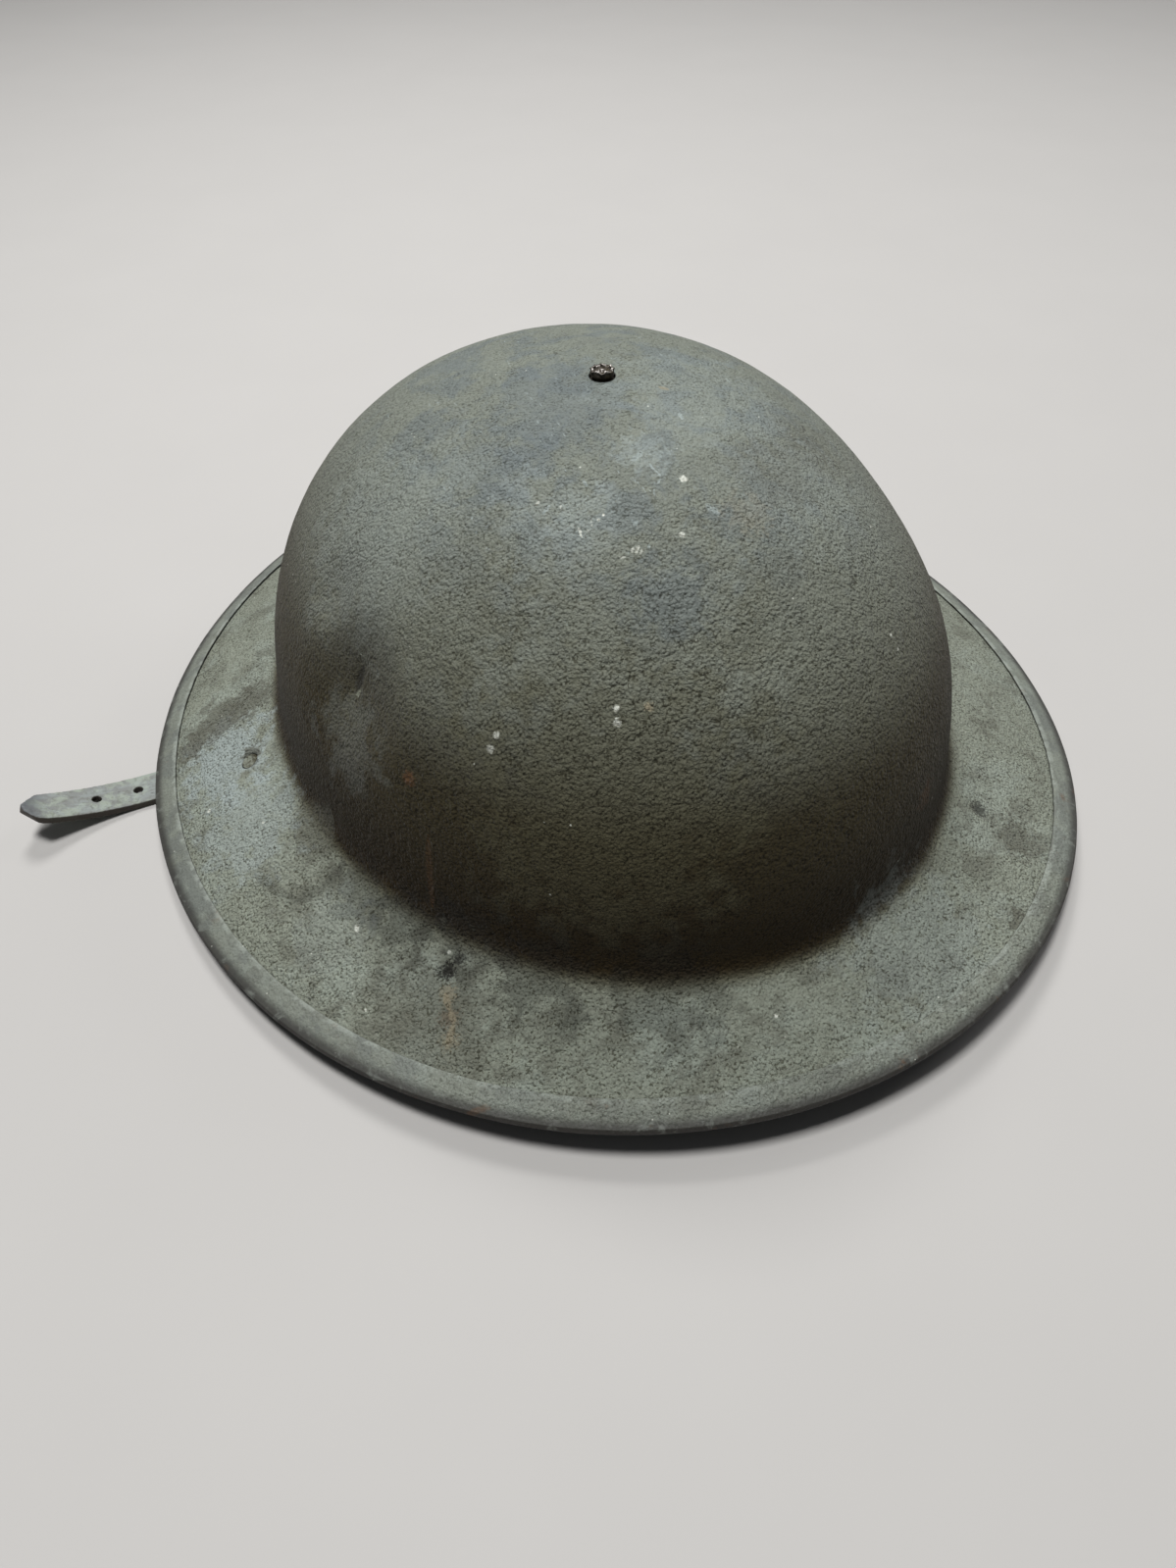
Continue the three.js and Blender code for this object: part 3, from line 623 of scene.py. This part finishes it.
def sanded_paint(paint):
    """Worn olive paint with coarse sand in it: darker on the wall from dirt and painted shade, with a
    painted blue-grey sheen on the crown.
    """
    material, tree, shader = new_material(
        "sanded_paint", Specular_IOR_Level=0.14, Sheen_Weight=0.06, Sheen_Roughness=0.4
    )
    place = object_place(tree)
    up = facing_up(tree)
    height = height_of(tree, place)
    crown = rise(tree, height, 88 * MM, 113 * MM)
    # Low on the steep wall and in the turn to the brim: earth, painted shade and a painted warm reflection
    foot = times(tree, rise(tree, height, 68 * MM, 28 * MM), rise(tree, up, 0.9, 0.35))
    inside = rise(tree, up, 0.0, -0.2)

    calm = times(tree, crown, 0.25)
    rubbed = mottle(tree, place, 34, 0.35)
    calm = plus(tree, calm, times(tree, rubbed, 0.3))
    coverage = minus(tree, 1.0, calm, True)
    outside = minus(tree, 1.0, times(tree, inside, 0.8))
    coverage = times(tree, coverage, outside)
    base, grain, pits = olive_coat(tree, place, paint, coverage)

    upper = rise(tree, height, 58 * MM, 98 * MM)
    base = wash(tree, base, paint.cool, upper, 0.6)
    clouded = mottle(tree, place, 13, 0.5)
    # Painted blue-grey sheen on the crown
    base = layer(tree, times(tree, crown, times(tree, clouded, 0.55)), base, paint.blue)
    base = wash(tree, base, paint.foot, foot, 0.8)
    base = paint_marks(tree, place, base, paint)
    on_top = rise(tree, height, 84 * MM, 108 * MM)
    for turn in (0.5, 2.1):
        sockets = {"Vector": place, "Rotation": (0, 0, turn), "Scale": (1.0, 0.13, 1.0)}
        stretched = add(tree, "Mapping", sockets).outputs[0]
        scratched = effect(tree, "scratches", vector=stretched, size=0.8 * MM)
        base = wash(tree, base, paint.bleached, times(tree, scratched, on_top), 0.75)
    dots = effect(tree, "specks", vector=place, size=0.55 * MM, share=0.35)
    base = wash(tree, base, paint.shade, times(tree, dots, crown), 0.6)
    flecks = effect(tree, "specks", vector=place, size=0.5 * MM, share=0.01)
    base = wash(tree, base, paint.chip, flecks, 0.7)
    base = sink_pits(tree, pits, base)

    rough = minus(tree, 0.68, times(tree, crown, 0.1))
    rough = plus(tree, rough, times(tree, pits, 0.2), True)
    feed(tree, shader, Base_Color=base, Roughness=rough)
    swell = noise(tree, place, 7 * MM, 3.0, 0.55)
    under = bump(tree, shader, swell, 0.35 * MM)
    bump(tree, shader, grain, paint.grain_height, 1.0, under)
    return material


def slate_rim(rim, paint):
    """The coat over the folded rim: slate, dark at its edge and rubbed along the fold's inner line."""
    material, tree, shader = new_material("slate_rim", Specular_IOR_Level=0.3)
    place = object_place(tree)
    scale = (1 / RIM_HALF.x, 1 / RIM_HALF.y, 0)
    shift = (-RIM_CENTRE.x / RIM_HALF.x, -RIM_CENTRE.y / RIM_HALF.y, 0)
    round_rim = add(tree, "Mapping", {"Vector": place, "Location": shift, "Scale": scale}).outputs[0]
    out = add(tree, "VectorMath", {0: round_rim}, operation="LENGTH").outputs["Value"]
    forward = add(tree, "SeparateXYZ", {0: round_rim}).outputs["Y"]
    up = facing_up(tree)
    # The very edge and the fold's sides that do not face up go dark: bare metal and painted shade
    edge = maths(tree, "MAXIMUM", rise(tree, out, 0.974, 0.992), rise(tree, up, 0.92, 0.6))
    # A pale line where the fold's inner edge faces up: rubbed paint and a painted highlight
    ridge = times(tree, rise(tree, out, 0.9615, 0.9545), rise(tree, up, 0.2, 0.6))
    gritty = rise(tree, forward, -0.55, -0.95)
    coverage = plus(tree, 0.3, times(tree, gritty, 0.5))
    coverage = times(tree, coverage, minus(tree, 1.0, times(tree, edge, 0.7)))
    base, grain, pits = olive_coat(tree, place, paint, coverage)

    patchy = mottle(tree, place, 14, 0.55)
    slate = plus(tree, 0.45, times(tree, patchy, 0.35))
    slate = times(tree, slate, minus(tree, 1.0, times(tree, gritty, 0.4)))
    base = layer(tree, slate, base, rim.slate)
    base = wash(tree, base, rim.edge, edge, 0.85)
    chafed = mottle(tree, place, 4, 0.6)
    base = wash(tree, base, rim.ridge, times(tree, ridge, chafed), 0.55)
    worn = mottle(tree, place, 5, 0.3)
    base = layer(tree, times(tree, worn, times(tree, edge, 0.3)), base, rim.ridge)
    rusty = mottle(tree, place, 8, 0.12)
    base = wash(tree, base, paint.rust, rusty, 0.5)
    flecks = effect(tree, "specks", vector=place, size=0.4 * MM, share=0.03)
    base = wash(tree, base, paint.chip, flecks, 0.6)
    base = sink_pits(tree, pits, base)
    rough = plus(tree, 0.56, times(tree, chafed, 0.12))
    feed(tree, shader, Base_Color=base, Roughness=rough)
    under = bump(tree, shader, noise(tree, place, 5 * MM, 3.0), 0.25 * MM)
    bump(tree, shader, grain, paint.grain_height, 1.0, under)
    return material


def painted_rivet(paint):
    """The same coat over the side rivets' heads, darkened in blotches with a dark brown."""
    material, tree, shader = new_material("painted_rivet", Specular_IOR_Level=0.3)
    place = object_place(tree)
    base, grain, pits = olive_coat(tree, place, paint, 0.5)
    dark_blotches = mottle(tree, place, 1.8, 0.6)
    base = wash(tree, base, paint.soil_and_shade, dark_blotches, 0.7)
    base = sink_pits(tree, pits, base)
    feed(tree, shader, Base_Color=base, Roughness=plus(tree, 0.62, times(tree, dark_blotches, 0.2)))
    bump(tree, shader, grain, paint.grain_height)
    return material


def rivet_copper(hardware, paint):
    """Tarnished copper, dark outside, with bare bright metal inside its torn lip."""
    material, tree, shader = new_material("rivet_copper", Metallic=0.4, Specular_IOR_Level=0.5)
    place = object_place(tree)
    low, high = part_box("crown_rivet")
    middle = (low + high) / 2
    top = high.z - (RIVET_STANDS - hardware.lip_height)
    shift = (-middle.x, -middle.y, 0)
    flat = add(tree, "Mapping", {"Vector": place, "Location": shift, "Scale": (1, 1, 0)}).outputs[0]
    out = add(tree, "VectorMath", {0: flat}, operation="LENGTH").outputs["Value"]
    within = times(tree, rise(tree, out, 2.75 * MM, 2.55 * MM), rise(tree, facing_up(tree), -0.6, 0.1))
    torn = rise(tree, height_of(tree, place), top - 0.5 * MM, top - 0.2 * MM)
    raised = rise(tree, height_of(tree, place), top - 1.1 * MM, top - 0.7 * MM)
    bare = maths(tree, "MAXIMUM", times(tree, within, raised), torn)
    broken = mottle(tree, place, 0.8, 0.6)
    tarnish = mottle(tree, place, 1.6, 0.5)
    base = layer(tree, tarnish, hardware.copper, paint.soil_and_shade)
    base = layer(tree, times(tree, bare, broken), base, hardware.bright)
    rough = minus(tree, 0.66, times(tree, bare, 0.28))
    feed(tree, shader, Base_Color=base, Roughness=rough)
    bump(tree, shader, noise(tree, place, 0.6 * MM, 4.0, 0.65), 0.2 * MM)
    return material


def dark_steel(hardware, paint):
    """Dull dark steel with brown rust in it."""
    material, tree, shader = new_material("dark_steel", Specular_IOR_Level=0.5)
    place = object_place(tree)
    rusty = mottle(tree, place, 2.4, 0.5)
    base = layer(tree, rusty, hardware.steel, paint.rust)
    dusty = mottle(tree, place, 0.9, 0.3)
    base = wash(tree, base, paint.shade, dusty, 0.4)
    feed(tree, shader, Base_Color=base)
    feed(tree, shader, Metallic=minus(tree, 0.85, times(tree, rusty, 0.75)))
    feed(tree, shader, Roughness=plus(tree, 0.45, times(tree, rusty, 0.4)))
    bump(tree, shader, noise(tree, place, 0.5 * MM, 4.0, 0.6), 0.1 * MM)
    return material


def dry_leather(strap, paint):
    """Dry grey leather: fine cracks on its face, dark cut sides, and a darker point."""
    material, tree, shader = new_material("dry_leather", Specular_IOR_Level=0.35)
    place = object_place(tree)
    up = add(tree, "Math", {0: facing_up(tree)}, operation="ABSOLUTE").outputs[0]
    side = rise(tree, up, 0.86, 0.5)
    across = add(tree, "SeparateXYZ", {0: place}).outputs["X"]
    tip_start = CAD_BOX[0][0]
    tip = rise(tree, across, tip_start + 9 * MM, tip_start + 2 * MM)
    long_way = add(tree, "Mapping", {"Vector": place, "Scale": (0.2, 1.0, 1.0)}).outputs[0]
    streaks = mottle(tree, long_way, 2.2, 0.5)
    base = layer(tree, mottle(tree, place, 5, 0.5), strap.leather, paint.worn)
    base = wash(tree, base, paint.bleached, streaks, 0.3)
    dirt = mottle(tree, place, 1.8, 0.4)
    base = wash(tree, base, paint.shade, dirt, 0.4)
    cracked = effect(tree, "scratches", vector=long_way, size=0.7 * MM)
    base = wash(tree, base, strap.side, cracked, 0.55)
    base = wash(tree, base, strap.tip, tip, 0.75)
    base = wash(tree, base, strap.side, side, 0.92)
    rough = minus(tree, 0.72, times(tree, tip, 0.25))
    feed(tree, shader, Base_Color=base, Roughness=rough)
    under = bump(tree, shader, noise(tree, place, 2.4 * MM, 4.0, 0.6), 0.22 * MM)
    creases = minus(tree, noise(tree, place, 0.5 * MM, 3.0, 0.6), times(tree, cracked, 0.8))
    bump(tree, shader, creases, 0.14 * MM, 1.0, under)
    return material


def pale_floor(stage):
    material, tree, shader = new_material("pale_floor", Roughness=0.7, Specular_IOR_Level=0.2)
    place = object_place(tree)
    faint = noise(tree, place, 0.06, 3.0)
    darker = tuple(part * 0.96 for part in stage.floor)
    feed(tree, shader, Base_Color=layer(tree, faint, tuple(stage.floor), darker))
    return material


# Modelling


def take_up(piece):
    """Makes a piece the only one selected, and the active one."""
    bpy.ops.object.select_all(action="DESELECT")
    piece.select_set(True)
    bpy.context.view_layer.objects.active = piece


def edit(piece):
    take_up(piece)
    bpy.ops.object.mode_set(mode="EDIT")
    bpy.ops.mesh.select_mode(type="VERT")
    bpy.ops.mesh.select_all(action="DESELECT")


def select_points(piece, test):
    """Selects the vertices that pass the test, and the faces whose vertices all do."""
    model = bmesh.from_edit_mesh(piece.data)
    for point in model.verts:
        point.select_set(test(point))
    model.select_flush_mode()
    bmesh.update_edit_mesh(piece.data)
    return sum(point.select for point in model.verts)


def finish_edit():
    bpy.ops.object.mode_set(mode="OBJECT")


def refine(piece, kind, **settings):
    """Adds a modifier and applies it."""
    take_up(piece)
    modifier = piece.modifiers.new(kind.lower(), kind)
    for name, value in settings.items():
        setattr(modifier, name, value)
    bpy.ops.object.modifier_apply(modifier=modifier.name)


def round_edges(piece, width, angle, segments, levels):
    """Bevels the edges that turn by more than an angle, and subdivides."""
    limit = math.radians(angle)
    refine(piece, "BEVEL", width=width, segments=segments, limit_method="ANGLE", angle_limit=limit)
    refine(piece, "SUBSURF", levels=levels, render_levels=levels)


def roughen(piece, size, depth, name):
    """Moves the surface in and out a little with a cloudy pattern."""
    texture = bpy.data.textures.new(name, "CLOUDS")
    texture.noise_scale = size
    texture.noise_depth = 2
    refine(piece, "DISPLACE", texture=texture, strength=depth, mid_level=0.5, texture_coords="LOCAL")


def welded_copy(node, name):
    """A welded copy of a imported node, in quads where it can be, that stands for it."""
    piece = bpy.data.objects.new(name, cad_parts[node].data.copy())
    bpy.context.scene.collection.objects.link(piece)
    piece.data.materials.clear()
    edit(piece)
    bpy.ops.mesh.customdata_custom_splitnormals_clear()
    bpy.ops.mesh.select_all(action="SELECT")
    bpy.ops.mesh.remove_doubles(threshold=WELD)
    limit = math.radians(35)
    bpy.ops.mesh.tris_convert_to_quads(face_threshold=limit, shape_threshold=math.radians(70))
    finish_edit()
    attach(piece, "root")
    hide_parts(node)
    return piece


def dress(piece, material):
    piece.data.materials.append(material)
    take_up(piece)
    bpy.ops.object.shade_smooth()


def rivet_place(node):
    """Where a side rivet's head is, and the way that it faces."""
    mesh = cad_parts[node].data
    low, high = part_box(node)
    ups = [face.normal * face.area for face in mesh.polygons if face.normal.z > 0.8]
    facing = sum(ups, Vector()).normalized()
    head = [point.co for point in mesh.vertices]
    middle = (low + high) / 2
    reach = max((point - middle).dot(facing) for point in head)
    return middle + facing * reach, facing


def press_dent(piece, place, reach, depth):
    """Pushes the sheet in round a place, both its faces together."""
    target = Vector(place) * MM
    if reach < FINE_REACH:
        edit(piece)
        select_points(piece, lambda point: (point.co - target).length < 1.8 * reach * MM)
        bpy.ops.mesh.subdivide(number_cuts=2)
        finish_edit()
    upper = (point for point in piece.data.vertices if point.normal.z > 0)
    nearest = min(upper, key=lambda point: (point.co - target).length)
    push = -nearest.normal * depth * MM
    index = nearest.index
    edit(piece)
    select_points(piece, lambda point: point.index == index)
    bpy.ops.transform.translate(
        value=push,
        use_proportional_edit=True,
        proportional_edit_falloff="SMOOTH",
        proportional_size=reach * MM,
    )
    finish_edit()


class HELMET_OT_shell(bpy.types.Operator):
    """Refine the pressed shell, dent it and paint it"""

    bl_idname = "helmet.shell"
    bl_label = "Shell"

    def execute(self, context):
        settings = context.scene.helmet
        piece = welded_copy("shell", "steel_shell")
        self.close_rivet_holes(piece)
        refine(piece, "SUBSURF", levels=2, render_levels=2)
        roughen(piece, settings.paint.ripple_size, settings.paint.ripple_height, "pressing")
        for dent in DENTS:
            press_dent(piece, *dent)
        for node in SIDE_RIVETS:
            self.open_rivet_hole(piece, *rivet_place(node))
        dress(piece, sanded_paint(settings.paint))
        return {"FINISHED"}

    def close_rivet_holes(self, piece):
        """Takes out the small faces round each side rivet's hole, and closes the gap with one face."""
        places = [rivet_place(node)[0] for node in SIDE_RIVETS]
        edit(piece)
        near = 3.4 * MM
        select_points(piece, lambda point: min((point.co - place).length for place in places) < near)
        bpy.ops.mesh.delete(type="VERT")
        bpy.ops.mesh.select_all(action="SELECT")
        bpy.ops.mesh.fill_holes(sides=0)
        finish_edit()

    def open_rivet_hole(self, piece, place, facing):
        radius = 2.85 * MM
        bpy.ops.object.select_all(action="DESELECT")
        bpy.ops.mesh.primitive_cylinder_add(vertices=32, radius=radius, depth=8 * MM, location=place)
        cutter = bpy.context.object
        cutter.rotation_euler = facing.to_track_quat("Z", "Y").to_euler()
        refine(piece, "BOOLEAN", object=cutter, operation="DIFFERENCE", solver="EXACT")
        bpy.data.objects.remove(cutter)


class HELMET_OT_rim(bpy.types.Operator):
    """Round the folded rim and paint it slate"""

    bl_idname = "helmet.rim"
    bl_label = "Folded Rim"

    def execute(self, context):
        settings = context.scene.helmet
        piece = welded_copy("rim_band", "folded_rim")
        round_edges(piece, width=0.22 * MM, angle=40, segments=2, levels=2)
        roughen(piece, 0.02, settings.rim.waviness, "fold")
        dress(piece, slate_rim(settings.rim, settings.paint))
        return {"FINISHED"}


def turned_piece(name, centre, rings):
    """Raises a closed round piece ring by ring, each ring a radius and a height."""
    bpy.ops.object.select_all(action="DESELECT")
    (first, foot), *rest = rings
    start = (centre.x, centre.y, foot)
    bpy.ops.mesh.primitive_circle_add(vertices=42, radius=first, fill_type="NGON", location=start)
    piece = bpy.context.object
    piece.name = name
    piece.data.name = name
    bpy.ops.object.mode_set(mode="EDIT")
    bpy.ops.mesh.select_all(action="SELECT")
    radius, height = first, foot
    for wider, higher in rest:
        bpy.ops.mesh.extrude_region_move(TRANSFORM_OT_translate={"value": (0, 0, higher - height)})
        grow = wider / radius
        middle = (centre.x, centre.y, higher)
        bpy.ops.transform.resize(value=(grow, grow, 1), center_override=middle)
        radius, height = wider, higher
    bpy.ops.mesh.select_all(action="SELECT")
    bpy.ops.mesh.normals_make_consistent(inside=False)
    finish_edit()
    bpy.ops.object.transform_apply(location=True, rotation=True, scale=True)
    return piece


class HELMET_OT_crown_rivet(bpy.types.Operator):
    """Model the hollow crown rivet with its torn lip"""

    bl_idname = "helmet.crown_rivet"
    bl_label = "Crown Rivet"

    def execute(self, context):
        settings = context.scene.helmet
        low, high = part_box("crown_rivet")
        centre = (low + high) / 2
        seat = high.z - RIVET_STANDS
        top = seat + settings.hardware.lip_height
        wall = settings.hardware.lip_wall
        washer_top = low.z + 1.0 * MM
        outer = 2.9 * MM
        rings = [
            (5.6 * MM, low.z),
            (6.0 * MM, low.z + 0.3 * MM),
            (5.9 * MM, washer_top),
            (2.6 * MM, washer_top + 0.02 * MM),
            (2.6 * MM, seat + 0.28 * MM),
            (outer + 0.15 * MM, seat + 0.3 * MM),
            (outer + 0.2 * MM, seat + 0.7 * MM),
            (outer - 0.05 * MM, seat + 1.2 * MM),
            (outer + 0.1 * MM, top),
            (outer - wall + 0.1 * MM, top),
            (outer - wall - 0.05 * MM, top - 1.0 * MM),
            (outer - wall - 0.4 * MM, top - 1.3 * MM),
            (1.2 * MM, top - 1.2 * MM),
            (0.5 * MM, top - 0.7 * MM),
        ]
        piece = turned_piece("torn_crown_rivet", centre, rings)
        self.tear_lip(piece, centre, top, settings.hardware.lip_height)
        self.crumple(piece, top)
        round_edges(piece, width=0.06 * MM, angle=45, segments=1, levels=1)
        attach(piece, "root")
        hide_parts("crown_rivet")
        dress(piece, rivet_copper(settings.hardware, settings.paint))
        return {"FINISHED"}

    def tear_lip(self, piece, centre, top, height):
        """Pulls the lip down between its teeth and bends each tooth a little out or in."""
        edit(piece)
        teeth = len(LIP_TEETH)
        for tooth, stands in enumerate(LIP_TEETH):
            middle = (tooth + 0.5) / teeth * 2 * math.pi
            half = math.pi / teeth

            def on_tooth(point):
                turn = math.atan2(point.co.y - centre.y, point.co.x - centre.x) % (2 * math.pi)
                return point.co.z > top - 0.2 * MM and abs(turn - middle) < half

            if not select_points(piece, on_tooth):
                continue
            drop = -(1 - stands) * height * 0.65
            lean = (0.22 if tooth % 2 else -0.16) * MM
            push = (math.cos(middle) * lean, math.sin(middle) * lean, drop)
            bpy.ops.transform.translate(value=push)
        finish_edit()

    def crumple(self, piece, top):
        """Roughens the bare metal inside the lip, where the shank was snapped off."""
        edit(piece)
        select_points(piece, lambda point: top - 1.4 * MM < point.co.z < top - 0.3 * MM)
        bpy.ops.transform.vertex_random(offset=0.22 * MM, seed=4)
        finish_edit()


class HELMET_OT_side_rivets(bpy.types.Operator):
    """Finish the two flush rivets that hold the wire loops"""

    bl_idname = "helmet.side_rivets"
    bl_label = "Side Rivets"

    def execute(self, context):
        settings = context.scene.helmet
        coat = painted_rivet(settings.paint)
        for side in ("left", "right"):
            place, facing = rivet_place(f"bale_rivet_{side}")
            piece = welded_copy(f"bale_rivet_{side}", f"side_rivet_{side}")
            self.dish_head(piece, place, facing)
            round_edges(piece, width=0.14 * MM, angle=50, segments=2, levels=2)
            dress(piece, coat)
        return {"FINISHED"}

    def dish_head(self, piece, place, facing):
        """Sinks the middle of the rivet's head."""
        edit(piece)
        bpy.ops.mesh.select_mode(type="FACE")
        model = bmesh.from_edit_mesh(piece.data)
        for face in model.faces:
            level = abs((face.calc_center_median() - place).dot(facing))
            face.select_set(level < 0.1 * MM and face.normal.dot(facing) > 0.9)
        bmesh.update_edit_mesh(piece.data)
        bpy.ops.mesh.inset(thickness=0.7 * MM, depth=0)
        bpy.ops.transform.translate(value=-facing * 0.4 * MM)
        finish_edit()


class HELMET_OT_hardware(bpy.types.Operator):
    """Round the wire loops and the buckle, and rust them"""

    bl_idname = "helmet.hardware"
    bl_label = "Wire Loops and Buckle"

    def execute(self, context):
        settings = context.scene.helmet
        steel = dark_steel(settings.hardware, settings.paint)
        pieces = {"bale_left": "loop_left", "bale_right": "loop_right", "buckle": "strap_buckle"}
        for node, name in pieces.items():
            piece = welded_copy(node, name)
            refine(piece, "REMESH", mode="VOXEL", voxel_size=0.2 * MM)
            refine(piece, "SMOOTH", factor=0.5, iterations=5)
            dress(piece, steel)
        return {"FINISHED"}


class HELMET_OT_strap(bpy.types.Operator):
    """Round and age the leather chin strap's two pieces"""

    bl_idname = "helmet.strap"
    bl_label = "Chin Strap"

    def execute(self, context):
        settings = context.scene.helmet
        leather = dry_leather(settings.strap, settings.paint)
        for node, name in (("chin_strap_long", "strap_long"), ("chin_strap_short", "strap_short")):
            piece = welded_copy(node, name)
            if node == "chin_strap_long":
                self.cut_point(piece)
            refine(piece, "REMESH", mode="VOXEL", voxel_size=settings.strap.voxel)
            refine(piece, "SMOOTH", factor=0.5, iterations=4)
            roughen(piece, 0.006, 0.16 * MM, name + "_age")
            dress(piece, leather)
        return {"FINISHED"}

    def cut_point(self, piece):
        """Cuts the free end's two corners off at a slant."""
        for place, way in POINT_CUTS:
            edit(piece)
            bpy.ops.mesh.select_all(action="SELECT")
            middle = Vector(place) * MM
            bpy.ops.mesh.bisect(plane_co=middle, plane_no=way, use_fill=True, clear_outer=True)
            finish_edit()


class HELMET_OT_stage(bpy.types.Operator):
    """Set the floor, the soft lights and the camera"""

    bl_idname = "helmet.stage"
    bl_label = "Floor, Lights and Camera"

    def execute(self, context):
        stage = context.scene.helmet.stage
        bpy.ops.object.select_all(action="DESELECT")
        bpy.ops.mesh.primitive_plane_add(size=60, location=(0, 0, 0))
        floor = bpy.context.object
        floor.name = "floor"
        floor.data.materials.append(pale_floor(stage))
        self.add_lights(context, stage)
        self.add_camera(context, stage)
        return {"FINISHED"}

    def add_lights(self, context, stage):
        world = bpy.data.worlds.new("soft_sky")
        context.scene.world = world
        world.use_nodes = True
        background = world.node_tree.nodes["Background"]
        background.inputs["Color"].default_value = (0.92, 0.96, 1.0, 1)
        background.inputs["Strength"].default_value = stage.sky
        middle = Vector((0.018, 0, 0.04))
        away = 1.5
        for name, way, size, watts in (
            ("key", Vector((0.16, 0.72, 1.0)), 0.4, stage.key_power),
            ("overhead", Vector((-0.14, 0.0, 1.0)), 0.36, stage.top_power),
            ("side", Vector((1.0, 0.15, 0.75)), 0.6, stage.side_power),
        ):
            where = middle + way.normalized() * away
            bpy.ops.object.light_add(type="AREA", location=where)
            light = bpy.context.object
            light.name = name
            light.rotation_euler = way.to_track_quat("Z", "Y").to_euler()
            light.data.energy = watts
            light.data.size = size

    def add_camera(self, context, stage):
        """The photograph's camera: its place, pitch, heading and roll, and its lens."""
        bpy.ops.object.camera_add()
        camera = bpy.context.object
        camera.name = "photo_camera"
        pitch, heading, roll = (math.radians(angle) for angle in CAMERA_ANGLES)
        flat = math.cos(pitch)
        ahead = Vector((math.sin(heading) * flat, math.cos(heading) * flat, -math.sin(pitch)))
        level = ahead.cross(Vector((0, 0, 1))).normalized()
        lower = ahead.cross(level)
        right = level * math.cos(roll) + lower * math.sin(roll)
        down = lower * math.cos(roll) - level * math.sin(roll)
        turn = Matrix((right, -down, -ahead)).transposed()
        camera.matrix_world = Matrix.Translation(CAMERA_PLACE) @ turn.to_4x4()
        camera.data.sensor_width = SENSOR
        camera.data.lens = stage.focal_pixels / FRAME_HEIGHT * SENSOR
        camera.data.clip_start = 0.01
        context.scene.camera = camera
        context.scene.view_settings.view_transform = "Standard"


class HELMET_PT_build(bpy.types.Panel):
    bl_label = "Steel Helmet"
    bl_idname = "HELMET_PT_build"
    bl_space_type = "VIEW_3D"
    bl_region_type = "UI"
    bl_category = "Helmet"

    def draw(self, context):
        settings = context.scene.helmet
        for operator, group in STEPS:
            self.layout.operator(operator.bl_idname)
            box = self.layout.box()
            chosen = getattr(settings, group)
            for name in chosen.__annotations__:
                box.prop(chosen, name)


STEPS = [
    (HELMET_OT_stage, "stage"),
    (HELMET_OT_shell, "paint"),
    (HELMET_OT_rim, "rim"),
    (HELMET_OT_crown_rivet, "hardware"),
    (HELMET_OT_side_rivets, "hardware"),
    (HELMET_OT_hardware, "hardware"),
    (HELMET_OT_strap, "strap"),
]

GROUPS = [HelmetPaint, HelmetRim, HelmetHardware, HelmetStrap, HelmetStage, HelmetSettings]
CLASSES = [*GROUPS, *(operator for operator, _ in STEPS), HELMET_PT_build]


def register():
    for made in CLASSES:
        bpy.utils.register_class(made)
    bpy.types.Scene.helmet = PointerProperty(type=HelmetSettings)


def unregister():
    del bpy.types.Scene.helmet
    for made in reversed(CLASSES):
        bpy.utils.unregister_class(made)


def main():
    register()
    for operator, _ in STEPS:
        family, step = operator.bl_idname.split(".")
        getattr(getattr(bpy.ops, family), step)()


if __name__ == "__main__":
    main()
